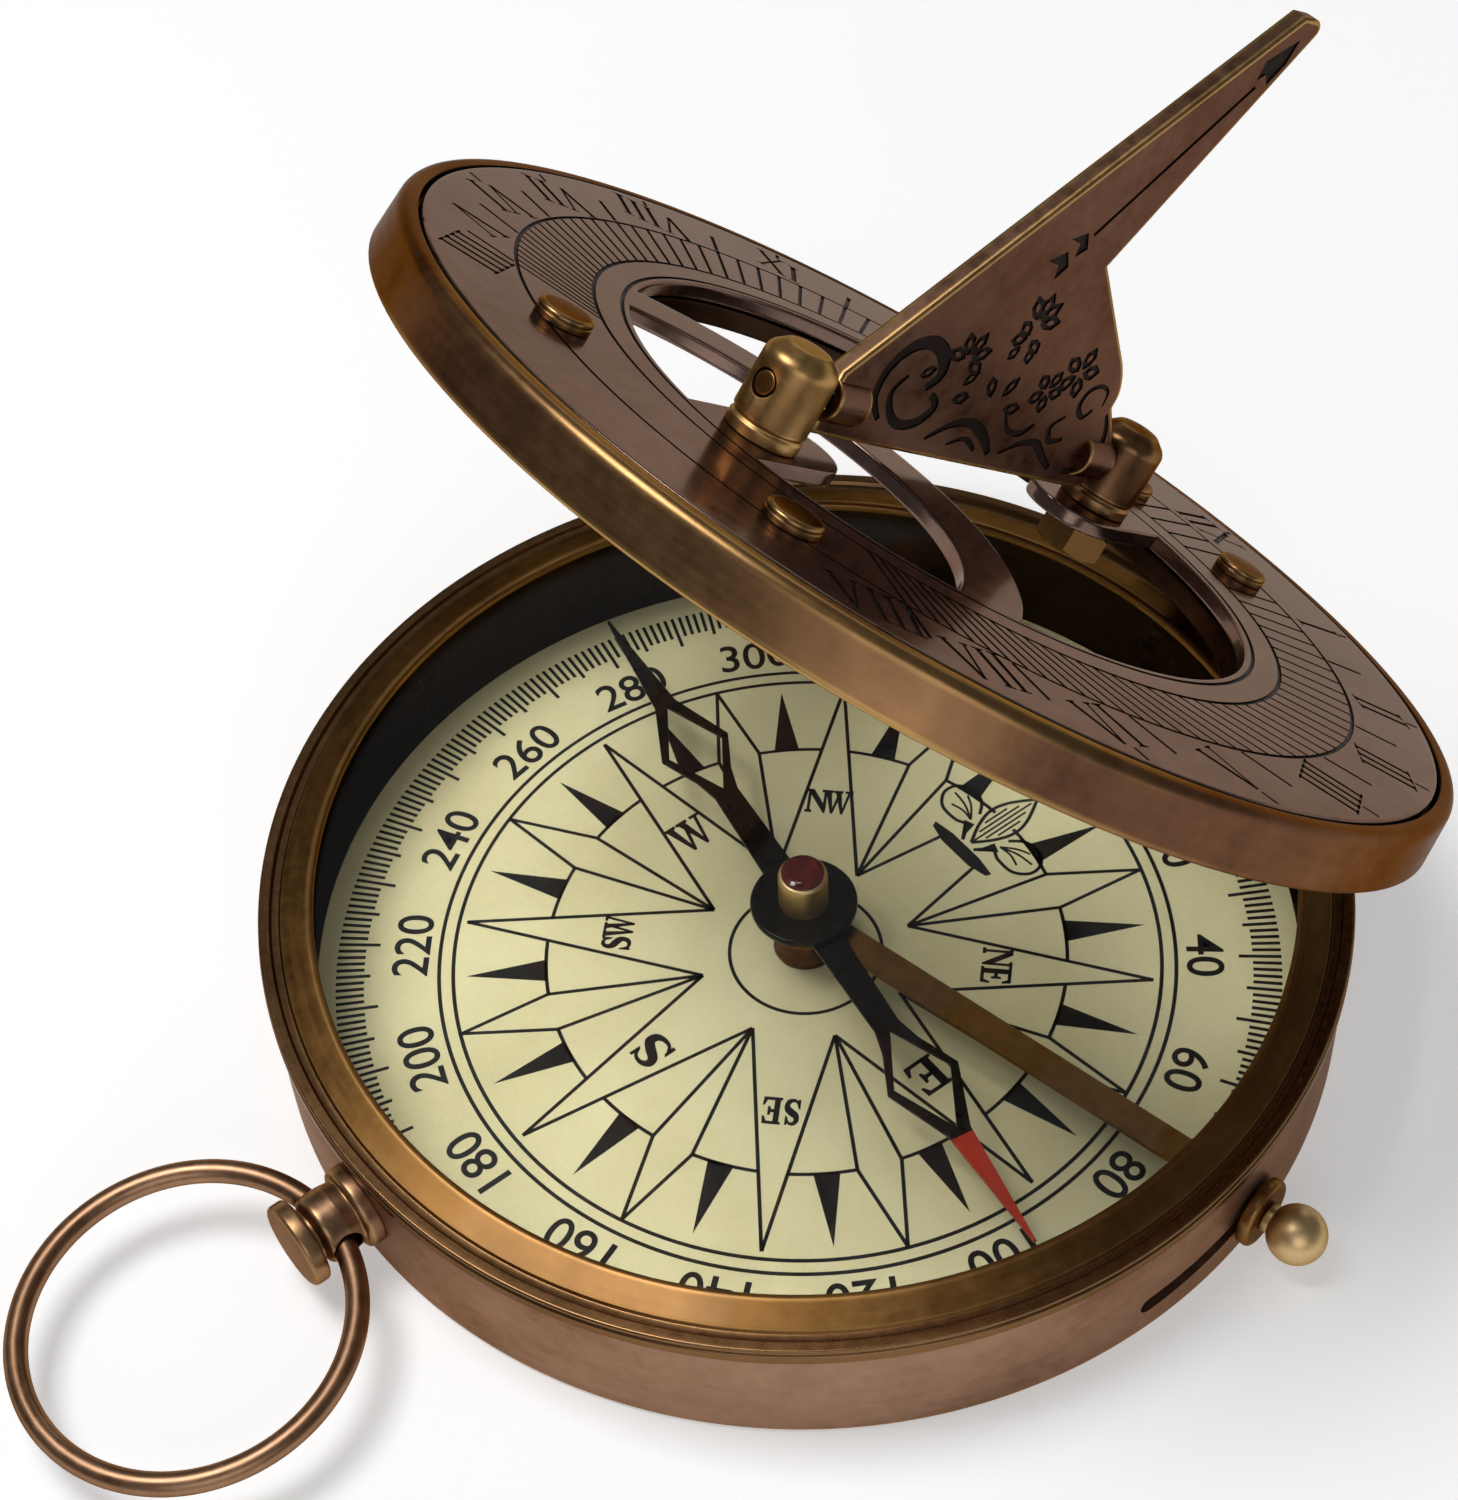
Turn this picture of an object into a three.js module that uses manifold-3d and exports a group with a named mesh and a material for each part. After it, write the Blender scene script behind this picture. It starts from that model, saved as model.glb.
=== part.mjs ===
// Sundial compass: a round brass case with a needle over a compass card, and a hinged lid that carries
// a sundial plate with a folding gnomon. Millimetres, +Z up, +Y north (the hinge), -Y south (the bail).
// The origin is on the case's axis at its underside. The lid stands open and the needle is lifted and
// locked, as the object stands on a table.
import * as THREE from 'three';
import { mergeVertices } from 'three/addons/utils/BufferGeometryUtils.js';
import Module from 'manifold-3d';

const wasm = await Module();
wasm.setup();

// Clearances
const seatGap = 0.05; // between pieces that are laid or pressed together
const runGap = 0.1; // round pieces that turn or slide on each other
const lidGap = 0.15; // between pieces of the tilted lid
const cutOver = 0.6; // how far a cutter runs past what it cuts

// Case
const caseRadius = 39.8;
const caseHeight = 9.8;
const caseWall = 1.4;
const caseFloor = 0.8;
const caseChamfer = 0.4;

// Card, seat ring, glass and bezel
const cardThickness = 0.3;
const cardHole = 2.4;
const seatRingWall = 1.3;
const seatRingGap = 0.1;
const glassThickness = 0.55;
const glassLap = 0.6;
const bezelRise = 2.1; // from the wall's top to the bezel's
const bezelOverhang = 0.2;
const bezelFlange = 0.75;
const bevelWidth = 2.45;
const bevelDrop = 0.7;
const grooveWidth = 0.5;
const grooveDepth = 0.2;
const grooveSlope = 0.1;
const lipWidth = 1.1;
const lipRise = 0.1;
const lipRound = 0.25;

// Pivot post and lift bush
const postFootRadius = 2.2;
const postFootHeight = 0.5;
const postRadius = 0.8;
const postTipBelowCap = 1.5; // from the cap's top to the pivot's point
const postConeHeight = 1;
const postTipRadius = 0.05;
const bushWall = 0.7;
const bushBelowArm = 1.4;
const bushFlangeRadius = 2.6;
const bushFlangeThickness = 0.5;

// Lock: an arm on the bush with a screw through a slot in the wall, an outer washer and a ball
const lockAzimuth = 77.5; // clockwise from north, in degrees
const lockTurn = 15;
const lockTravel = 0.65;
const armBottom = 4.8;
const armThickness = 0.4;
const armWidth = 2.4;
const armRingRadius = 3.2;
const armWallGap = 1;
const armTabDrop = 2.2;
const stemHeight = 4;
const stemRadius = 0.5;
const stemHeadRadius = 0.72;
const stemHeadLength = 0.5;
const stemInKnob = 1;
const slotHalfHeight = 0.85;
const slotWindowExtra = 0.35;
const slotSteps = 6;
const collarRadius = 2.6;
const collarThickness = 1;
const collarEdge = 0.2;
const knobRadius = 2.15;
const knobNeckRadius = 1.1;
const knobNeckLength = 0.55;

// Needle
const needleAzimuth = 100;
const needleEndGap = 4.2; // between the needle's tip and the seat ring
const needleThickness = 0.3;
const needleHole = 1.2;
const needleWaistHalf = 1.35;
const needleStemHalf = 1;
const needleFrameInside = 5.2; // from the stem to the frame's widest place
const needleFrameOutside = 5.1; // from there to the spike
const needleFrameHalf = 2.9;
const needleFrameBar = 0.55;
const needleSpikeLength = 10.1;
const needleSpikeHalf = 0.9;
const needleTipHalf = 0.1;
const hubRadius = 4;
const hubThickness = 0.6;
const hubEdge = 0.2;
const capRadius = 1.85;
const capWall = 0.75;
const jewelRadius = 1.6;
const jewelHeight = 0.42;
const jewelGap = 0.18; // between the jewel and the glass
const jewelPlugBelow = 0.4;
const jewelSeatRadius = 0.7;

// Pendant and bail
const pendantBelowTop = 4; // from the wall's top to the pendant's axis
const pendantShankRadius = 1.2;
const pendantFlangeRadius = 3.1;
const pendantFlangeLength = 1;
const pendantBodyRadius = 2.6;
const pendantBodyLength = 3;
const pendantNeckRadius = 1.9;
const pendantNeckLength = 0.4;
const pendantHeadRadius = 3.2;
const pendantHeadLength = 1.3;
const pendantEdge = 0.3;
const bailHole = 1.2;
const bailWireRadius = 0.85;
const bailRadius = 11.8;
const bailTilt = 3; // below level, in degrees

// Hinge
const hingeReach = 2.7;
const hingeWidth = 14;
const lidKnuckleWidth = 6;
const knuckleRadius = 1.5;
const knuckleGap = 0.2;
const pinRadius = 0.6;
const pinHeadRadius = 1;
const pinHeadLength = 0.4;
const leafDepth = 5.1;
const leafThickness = 1.2;
const lidLeafHeight = 2.6;
const lidLeafThickness = 0.7;

// Lid
const lidAngle = 41.25; // open, in degrees
const lidRest = 0.2; // between the bezel and the closed lid
const lidDepth = 4.15;
const lidTopAboveHinge = 3.84;
const lidOverhang = 0.47;
const lidTaper = 0.4;
const lidEdge = 0.25;
const lidWallTop = 1.2;
const lidWallBottom = 3.15;
const lidFloorThickness = 1.55;
const plateThickness = 1.15;
const plateGroove = 0.3;
const windowShare = 0.6119; // of the plate's radius
const tabHalfWidth = 3.5;
const tabEndInside = 2.2; // from the north post to the middle of the tab's round end
const webShare = 0.979; // of the window's radius
const webWidth = 4.2;
const webCentreShare = 1.1144;

// Fittings on the sundial plate
const southPostShare = 0.8347; // of the window's radius
const northPostShare = 0.8008;
const postBodyRadius = 2.55;
const postBodyHeight = 6.6;
const postDome = 1.2;
const postFootBand = 0.8;
const postGroove = 0.18;
const postShankRadius = 1.2;
const postShankBelowNut = 0.25;
const foldHeight = 3.5;
const nutAcrossFlats = 4.9;
const nutThickness = 2.4;
const studRadius = 1.9;
const studHeight = 1;
const studDome = 0.3;
const studShankRadius = 0.8;
// Azimuth in degrees from north, and share of the way from the window's rim to the plate's edge
const studPlaces = { ne: [14.4, 0.444], nw: [-8.2, 0.38], se: [158, 0.476], sw: [-158.8, 0.458] };

// Gnomon, with the style's edge along its upper side
const gnomonThickness = 1.4;
const gnomonSouthGap = 0.95; // between the gnomon and the posts
const gnomonNorthGap = 0.35;
const gnomonLower = 1.1;
const gnomonBossRadius = 1.6;
const gnomonBossLength = 3.2;
const gnomonPinRadius = 0.8;
const gnomonPinInBoss = 2.4;
const styleAngle = 52.2;
const tipWidth = 2.3;
const tipDrop = 0.5;
// Places along the gnomon from its south end, and heights, as shares of its length
const styleFootShare = -0.1335;
const styleTopShare = 0.7485;
const notchShares = [0.6025, 0.528];
const shoulderShares = [0.854, 0.3385];
const neckShares = [0.913, 0.236];
const toeHeight = 4.9;
const toeRound = 1.9;

// Facets
const ringSides = 64;
const turnSides = 24;
const smallSides = 16;
const wireSides = 8;
const bailSides = 48;
const curveSides = 8;

const degree = Math.PI / 180;
const quarterTurn = Math.PI / 2;

// Heights and radii that follow from the sizes above
const caseBore = caseRadius - caseWall;
const cardBottom = caseFloor + seatGap;
const cardTop = cardBottom + cardThickness;
const seatRingOuter = caseBore - seatRingGap;
const bezelBottom = caseHeight + seatGap;
const bezelTop = caseHeight + bezelRise;
const bezelOuter = caseRadius + bezelOverhang;
const seatRingBore = seatRingOuter - seatRingWall;
const glassRadius = seatRingBore + glassLap;
const grooveEnd = bezelOuter - lipWidth;
const grooveStart = grooveEnd - grooveSlope - grooveWidth;
const bezelBore = grooveStart - bevelWidth;
const glassTop = bezelTop - bezelFlange - seatGap;
const glassBottom = glassTop - glassThickness;
const seatRingTop = glassBottom - seatGap;
const armTop = armBottom + armThickness;
const needleBottom = armTop + bushFlangeThickness + seatGap;
const needleTop = needleBottom + needleThickness;
const needleHalfLength = seatRingBore - needleEndGap;
const needleSpikeStart = needleHalfLength - needleSpikeLength;
const needleFrameReach = needleSpikeStart - needleFrameOutside;
const needleStemEnd = needleFrameReach - needleFrameInside;
const capBottom = needleTop + seatGap;
const capTop = glassBottom - jewelGap - jewelHeight - seatGap;
const postTipHeight = capTop - postTipBelowCap;
const collarStart = caseRadius + bezelOverhang;
const lockAngle = quarterTurn - lockAzimuth * degree;
const armEnd = seatRingBore - armWallGap;
const pendantHeight = caseHeight - pendantBelowTop;
const pivotY = caseRadius + seatGap + pendantFlangeLength + pendantBodyLength / 2;
const hingeY = caseRadius + hingeReach;
const lidTopClosed = bezelTop + lidRest + lidDepth;
const hingeZ = lidTopClosed - lidTopAboveHinge;
const lidBottomRadius = bezelOuter + lidOverhang;
const lidTopRadius = lidBottomRadius - lidTaper;
const plateHollowRadius = lidTopRadius - lidWallTop;
const plateRadius = plateHollowRadius - plateGroove;
const lidFloorTop = -plateThickness - lidGap;
const windowRadius = plateRadius * windowShare;
const webOuterRadius = windowRadius * webShare;
const webCentreY = -windowRadius * webCentreShare;
const northPostY = windowRadius * northPostShare;
const southPostY = -windowRadius * southPostShare;
const tabCentreY = northPostY - tabEndInside;
const toeY = northPostY - postBodyRadius - gnomonNorthGap;
const gnomonSouthY = southPostY + postBodyRadius + gnomonSouthGap;

const materials = {
  patina: { color: 0x7a5c4b, roughness: 0.45, metalness: 0.7 },
  brass: { color: 0xa87a35, roughness: 0.3, metalness: 0.9 },
  lacquer: { color: 0x86706a, roughness: 0.3, metalness: 0.6 },
  dark: { color: 0x3a2418, roughness: 0.35, metalness: 0.8 },
  steel: { color: 0x14110f, roughness: 0.3, metalness: 0.6 },
  card: { color: 0xd8d0a2, roughness: 0.8, metalness: 0 },
  glass: { color: 0xeef4f2, roughness: 0.05, metalness: 0, transparent: true, opacity: 0.3 },
  jewel: { color: 0x4a0d10, roughness: 0.2, metalness: 0 },
};

// Shapes and solids

function solidOf(geometry) {
  const bare = geometry.clone();
  bare.deleteAttribute('normal');
  bare.deleteAttribute('uv');
  const merged = mergeVertices(bare, seatGap / 1000);
  const corners = merged.index.array;
  const kept = [];
  for (let i = 0; i < corners.length; i += 3) {
    const [a, b, c] = [corners[i], corners[i + 1], corners[i + 2]];
    if (a !== b && b !== c && a !== c) kept.push(a, b, c);
  }
  const vertProperties = new Float32Array(merged.attributes.position.array);
  const mesh = new wasm.Mesh({ numProp: 3, vertProperties, triVerts: new Uint32Array(kept) });
  return new wasm.Manifold(mesh);
}

function geometryOf(solid) {
  const mesh = solid.getMesh();
  const geometry = new THREE.BufferGeometry();
  geometry.setAttribute('position', new THREE.BufferAttribute(mesh.vertProperties, 3));
  geometry.setIndex(new THREE.BufferAttribute(mesh.triVerts, 1));
  geometry.computeVertexNormals();
  return geometry;
}

// A closed profile of [radius, height] points, listed anticlockwise, turned round the Z axis.
function turned(profile, sides = turnSides) {
  const points = profile.map(([r, z]) => new THREE.Vector2(r, z));
  if (profile[0][0] > 0) points.push(points[0].clone());
  return new THREE.LatheGeometry(points, sides).rotateX(quarterTurn);
}

function disc(radius, bottom, top, sides = turnSides) {
  return turned([[0, bottom], [radius, bottom], [radius, top], [0, top]], sides);
}

function tube(bore, radius, bottom, top, sides = turnSides) {
  return turned([[bore, bottom], [radius, bottom], [radius, top], [bore, top]], sides);
}

function block(x0, x1, y0, y1, z0, z1) {
  const box = new THREE.BoxGeometry(x1 - x0, y1 - y0, z1 - z0);
  return box.translate((x0 + x1) / 2, (y0 + y1) / 2, (z0 + z1) / 2);
}

function extruded(shape, depth) {
  return new THREE.ExtrudeGeometry(shape, { depth, bevelEnabled: false, curveSegments: curveSides });
}

function outline(points) {
  return new THREE.Shape(points.map(([x, y]) => new THREE.Vector2(x, y)));
}

// Lays a piece made along +Z along another axis.
const alongX = (geometry) => geometry.rotateY(quarterTurn);
const alongY = (geometry) => geometry.rotateX(-quarterTurn);
const alongMinusY = (geometry) => geometry.rotateX(quarterTurn);

function joined(first, ...rest) {
  return rest.reduce((sum, geometry) => sum.add(solidOf(geometry)), solidOf(first));
}

function cut(solid, ...cutters) {
  return cutters.reduce((left, geometry) => left.subtract(solidOf(geometry)), solid);
}

function piece(name, shape, look) {
  const geometry = shape instanceof THREE.BufferGeometry ? geometryOf(solidOf(shape)) : geometryOf(shape);
  const mesh = new THREE.Mesh(geometry, new THREE.MeshStandardMaterial(materials[look]));
  mesh.name = name;
  return mesh;
}

// Lock slot: a band that drops as it runs clockwise, with round ends

function slotCutter(innerRadius, outerRadius, halfHeight) {
  const positions = [];
  const faces = [];
  for (let i = 0; i <= slotSteps; i += 1) {
    const share = i / slotSteps;
    const angle = lockAngle - lockTurn * degree * share;
    const middle = stemHeight - lockTravel * share;
    const ring = [
      [innerRadius, middle - halfHeight],
      [outerRadius, middle - halfHeight],
      [outerRadius, middle + halfHeight],
      [innerRadius, middle + halfHeight],
    ];
    ring.forEach(([r, z]) => positions.push(r * Math.cos(angle), r * Math.sin(angle), z));
    if (i === 0) continue;
    for (let k = 0; k < 4; k += 1) {
      const a = (i - 1) * 4 + k;
      const b = (i - 1) * 4 + ((k + 1) % 4);
      faces.push(a, b, a + 4, b, b + 4, a + 4);
    }
  }
  const last = slotSteps * 4;
  faces.push(0, 2, 1, 0, 3, 2, last, last + 1, last + 2, last, last + 2, last + 3);
  const band = new THREE.BufferGeometry();
  band.setAttribute('position', new THREE.Float32BufferAttribute(positions, 3));
  band.setIndex(faces);
  const ends = [0, 1].map((share) => {
    const round = alongX(disc(halfHeight, innerRadius, outerRadius, smallSides));
    round.translate(0, 0, stemHeight - lockTravel * share);
    return round.rotateZ(lockAngle - lockTurn * degree * share);
  });
  return geometryOf(joined(band, ...ends));
}

// Base

function makeCaseCup() {
  const shell = turned([
    [0, 0],
    [caseRadius - caseChamfer, 0],
    [caseRadius, caseChamfer],
    [caseRadius, caseHeight],
    [caseBore, caseHeight],
    [caseBore, caseFloor],
    [0, caseFloor],
  ], ringSides);
  const slot = slotCutter(caseBore - cutOver, caseRadius + cutOver, slotHalfHeight);
  const reach = caseRadius + cutOver;
  const shankHole = alongMinusY(disc(pendantShankRadius + runGap, caseBore - cutOver, reach, smallSides));
  shankHole.translate(0, 0, pendantHeight);
  return piece('case_cup', cut(solidOf(shell), slot, shankHole), 'patina');
}

function makeSeatRing() {
  const ring = tube(seatRingBore, seatRingOuter, cardTop + seatGap, seatRingTop, ringSides);
  const opening = slotHalfHeight + slotWindowExtra;
  const window = slotCutter(seatRingBore - cutOver, seatRingOuter + cutOver, opening);
  return piece('glass_seat_ring', cut(solidOf(ring), window), 'dark');
}

function makeBezelRing() {
  const shoulder = bezelTop - bevelDrop;
  const grooveFloor = shoulder - grooveDepth;
  const lipTop = shoulder + lipRise;
  const profile = [
    [bezelBore, glassTop + seatGap],
    [glassRadius + runGap, glassTop + seatGap],
    [glassRadius + runGap, seatRingTop + seatGap],
    [caseBore + seatGap, seatRingTop + seatGap],
    [caseBore + seatGap, bezelBottom],
    [bezelOuter, bezelBottom],
    [bezelOuter, lipTop - lipRound],
    [bezelOuter - lipRound, lipTop],
    [grooveEnd, lipTop],
    [grooveEnd - grooveSlope, grooveFloor],
    [grooveStart + grooveSlope, grooveFloor],
    [grooveStart, shoulder],
    [bezelBore, bezelTop],
  ];
  return piece('bezel_ring', turned(profile, ringSides), 'brass');
}

function makePivotPost() {
  const footTop = cardBottom + postFootHeight;
  return piece('pivot_post', turned([
    [0, cardBottom],
    [postFootRadius, cardBottom],
    [postFootRadius, footTop],
    [postRadius, footTop],
    [postRadius, postTipHeight - postConeHeight],
    [postTipRadius, postTipHeight],
    [0, postTipHeight],
  ], smallSides), 'brass');
}

function makePendant() {
  const flangeEnd = seatGap + pendantFlangeLength;
  const bodyEnd = flangeEnd + pendantBodyLength;
  const neckEnd = bodyEnd + pendantNeckLength;
  const headEnd = neckEnd + pendantHeadLength;
  const profile = [
    [0, -caseWall],
    [pendantShankRadius, -caseWall],
    [pendantShankRadius, -seatGap],
    [pendantFlangeRadius, -seatGap],
    [pendantFlangeRadius, flangeEnd - pendantEdge],
    [pendantFlangeRadius - pendantEdge, flangeEnd],
    [pendantBodyRadius, flangeEnd],
    [pendantBodyRadius, bodyEnd - pendantEdge],
    [pendantNeckRadius, bodyEnd],
    [pendantNeckRadius, neckEnd],
    [pendantHeadRadius - pendantEdge, neckEnd],
    [pendantHeadRadius, neckEnd + pendantEdge],
    [pendantHeadRadius, headEnd - pendantEdge],
    [pendantHeadRadius - pendantEdge, headEnd],
    [0, headEnd],
  ];
  const stem = turned(profile).translate(0, 0, caseRadius);
  const body = solidOf(alongMinusY(stem).translate(0, 0, pendantHeight));
  const shank = alongMinusY(disc(pendantShankRadius, caseBore, caseRadius + cutOver));
  const wall = cut(solidOf(disc(caseRadius + seatGap, 0, caseHeight, ringSides)),
    shank.translate(0, 0, pendantHeight));
  const hollow = alongX(disc(bailHole, -pendantHeadRadius - cutOver, pendantHeadRadius + cutOver));
  hollow.translate(0, -pivotY, pendantHeight);
  return piece('pendant_stem', cut(body.subtract(wall), hollow), 'patina');
}

function makeBail() {
  const swing = new THREE.Group();
  swing.position.set(0, -pivotY, pendantHeight);
  swing.rotation.x = bailTilt * degree;
  const ring = new THREE.TorusGeometry(bailRadius, bailWireRadius, wireSides, bailSides);
  const bail = piece('bail_ring', ring, 'brass');
  bail.position.y = -bailRadius;
  swing.add(bail);
  return swing;
}

// Hinge

function makeCaseLeaf() {
  const half = hingeWidth / 2;
  const top = caseHeight - seatGap;
  const bottom = top - leafDepth;
  const inner = Math.sqrt(caseRadius ** 2 - half ** 2) - cutOver;
  const outer = caseRadius + leafThickness;
  const back = hingeY + knuckleRadius * Math.cos(quarterTurn / 3);
  const backHeight = hingeZ - knuckleRadius * Math.sin(quarterTurn / 3);
  const side = outline([
    [inner, bottom],
    [outer, bottom],
    [back, backHeight],
    [hingeY, hingeZ],
    [hingeY - knuckleRadius + runGap, hingeZ],
    [hingeY - knuckleRadius + runGap, top],
    [inner, top],
  ]);
  const web = extruded(side, hingeWidth).rotateX(quarterTurn).rotateZ(quarterTurn).translate(-half, 0, 0);
  const barrel = alongX(disc(knuckleRadius, -half, half)).translate(0, hingeY, hingeZ);
  const wall = disc(caseRadius + seatGap, 0, bezelBottom, ringSides);
  const gap = lidKnuckleWidth / 2 + knuckleGap;
  const notch = alongX(disc(knuckleRadius + knuckleGap, -gap, gap)).translate(0, hingeY, hingeZ);
  const bore = alongX(disc(pinRadius + runGap, -hingeWidth, hingeWidth, smallSides));
  bore.translate(0, hingeY, hingeZ);
  return piece('case_hinge_leaf', cut(joined(web, barrel), wall, notch, bore), 'patina');
}

function makeHingePin() {
  const end = hingeWidth / 2 + seatGap;
  const pin = turned([
    [0, -end - pinHeadLength],
    [pinHeadRadius, -end - pinHeadLength],
    [pinHeadRadius, -end],
    [pinRadius, -end],
    [pinRadius, end],
    [pinHeadRadius, end],
    [pinHeadRadius, end + pinHeadLength],
    [0, end + pinHeadLength],
  ], smallSides);
  return piece('hinge_pin', alongX(pin).translate(0, hingeY, hingeZ), 'brass');
}

// Lock

function makeLockArm() {
  const strip = block(0, armEnd, -armWidth / 2, armWidth / 2, armBottom, armTop);
  const ring = disc(armRingRadius, armBottom, armTop);
  const tabBottom = armTop - armTabDrop;
  const tab = block(armEnd - armThickness, armEnd, -armWidth / 2, armWidth / 2, tabBottom, armTop);
  const bore = disc(postRadius + bushWall + 2 * runGap, armBottom - cutOver, armTop + cutOver);
  const hole = alongX(disc(stemRadius + runGap, armEnd - cutOver, armEnd + cutOver, smallSides));
  hole.translate(0, 0, stemHeight);
  return piece('lock_arm', cut(joined(strip, ring, tab), bore, hole), 'brass');
}

function makeLockStem() {
  const headEnd = armEnd - armThickness - seatGap;
  const headStart = headEnd - stemHeadLength;
  const knobFace = collarStart + collarThickness + seatGap;
  const stem = turned([
    [0, headStart],
    [stemHeadRadius, headStart],
    [stemHeadRadius, headEnd],
    [stemRadius, headEnd],
    [stemRadius, knobFace + stemInKnob],
    [0, knobFace + stemInKnob],
  ], smallSides);
  return piece('lock_stem', alongX(stem).translate(0, 0, stemHeight), 'brass');
}

function makeLockCollar() {
  const end = collarStart + collarThickness;
  const bore = stemRadius + runGap;
  const collar = turned([
    [bore, collarStart],
    [collarRadius - collarEdge, collarStart],
    [collarRadius, collarStart + collarEdge],
    [collarRadius, end - collarEdge],
    [collarRadius - collarEdge, end],
    [bore, end],
  ]);
  return piece('lock_collar', alongX(collar).translate(0, 0, stemHeight), 'brass');
}

function makeLockKnob() {
  const face = collarStart + collarThickness + seatGap;
  const neckAngle = Math.asin(knobNeckRadius / knobRadius);
  const centre = face + knobNeckLength + knobRadius * Math.cos(neckAngle);
  const profile = [[0, face], [knobNeckRadius, face]];
  const steps = curveSides;
  for (let i = 0; i <= steps; i += 1) {
    const angle = Math.PI - neckAngle - ((Math.PI - neckAngle) * i) / steps;
    const radius = i === steps ? 0 : knobRadius * Math.sin(angle);
    profile.push([radius, centre + knobRadius * Math.cos(angle)]);
  }
  const ball = alongX(turned(profile)).translate(0, 0, stemHeight);
  const depth = face + stemInKnob + seatGap;
  const hole = alongX(disc(stemRadius + seatGap, face - cutOver, depth, smallSides));
  return piece('lock_knob', cut(solidOf(ball), hole.translate(0, 0, stemHeight)), 'brass');
}

function makeBush() {
  const bore = postRadius + runGap;
  const radius = postRadius + bushWall;
  const flangeTop = armBottom - seatGap;
  const flangeBottom = flangeTop - bushFlangeThickness;
  return piece('lift_bush', turned([
    [bore, armBottom - bushBelowArm],
    [radius, armBottom - bushBelowArm],
    [radius, flangeBottom],
    [bushFlangeRadius, flangeBottom],
    [bushFlangeRadius, flangeTop],
    [radius, flangeTop],
    [radius, needleBottom - seatGap],
    [bore, needleBottom - seatGap],
  ], smallSides), 'brass');
}

// Needle: a stem that opens into a pierced frame and ends in a spike, the same on both sides

function makeNeedle() {
  const outward = [
    [0, needleWaistHalf],
    [needleStemEnd, needleStemHalf],
    [needleFrameReach, needleFrameHalf],
    [needleSpikeStart, needleSpikeHalf],
    [needleHalfLength, needleTipHalf],
  ];
  const inward = outward.slice(1).reverse();
  const shape = outline([
    ...outward.map(([x, y]) => [x, -y]),
    ...inward,
    ...outward.map(([x, y]) => [-x, y]),
    ...inward.map(([x, y]) => [-x, -y]),
  ]);
  const blade = extruded(shape, needleThickness).translate(0, 0, needleBottom);
  const slope = needleFrameBar / Math.cos(quarterTurn / 4);
  const opening = outline([
    [needleStemEnd, 0],
    [needleFrameReach, slope - needleFrameHalf],
    [needleSpikeStart, 0],
    [needleFrameReach, needleFrameHalf - slope],
  ]);
  const depth = needleThickness + 2 * cutOver;
  const east = extruded(opening, depth).translate(0, 0, needleBottom - cutOver);
  const west = east.clone().rotateZ(Math.PI);
  const bore = disc(needleHole, needleBottom - cutOver, needleTop + cutOver, smallSides);
  return piece('needle', cut(solidOf(blade), east, west, bore), 'steel');
}

function makeHub() {
  const bore = capRadius + seatGap;
  const top = capBottom + hubThickness;
  return piece('needle_hub', turned([
    [bore, capBottom],
    [hubRadius, capBottom],
    [hubRadius, top - hubEdge],
    [hubRadius - hubEdge, top],
    [bore, top],
  ]), 'steel');
}

function makeCap() {
  return piece('needle_cap', tube(capRadius - capWall, capRadius, capBottom, capTop), 'brass');
}

function makeJewel() {
  const plug = capRadius - capWall - seatGap;
  const seat = postTipHeight + lockTravel + runGap;
  const plugBottom = seat - jewelPlugBelow;
  const button = capTop + seatGap;
  return piece('needle_jewel', turned([
    [0, seat],
    [jewelSeatRadius, plugBottom],
    [plug, plugBottom],
    [plug, button],
    [jewelRadius, button],
    [jewelRadius, button + jewelHeight / 2],
    [jewelRadius / 2, button + jewelHeight],
    [0, button + jewelHeight],
  ], smallSides), 'jewel');
}

// Lid, in its own frame: origin at the middle of the plate's top face, +Y north, +Z out of the plate

function makeLidRim() {
  const floorBottom = lidFloorTop - lidFloorThickness;
  const wallInner = lidBottomRadius - lidWallBottom;
  const rim = turned([
    [windowRadius, floorBottom],
    [wallInner, floorBottom],
    [wallInner, -lidDepth],
    [lidBottomRadius, -lidDepth],
    [lidTopRadius, -lidEdge],
    [lidTopRadius - lidEdge, 0],
    [plateHollowRadius, 0],
    [plateHollowRadius, lidFloorTop],
    [windowRadius, lidFloorTop],
  ], ringSides);
  return piece('lid_rim', rim, 'dark');
}

function tabSolid(side) {
  const top = cutOver;
  const bottom = -plateThickness - cutOver;
  const far = windowRadius + cutOver;
  const y0 = side > 0 ? tabCentreY : -far;
  const y1 = side > 0 ? far : -tabCentreY;
  const strip = block(-tabHalfWidth, tabHalfWidth, y0, y1, bottom, top);
  const end = disc(tabHalfWidth, bottom, top).translate(0, side * tabCentreY, 0);
  return joined(strip, end);
}

function studCentre([azimuth, share]) {
  const radius = windowRadius + share * (plateRadius - windowRadius);
  return [radius * Math.sin(azimuth * degree), radius * Math.cos(azimuth * degree)];
}

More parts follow.
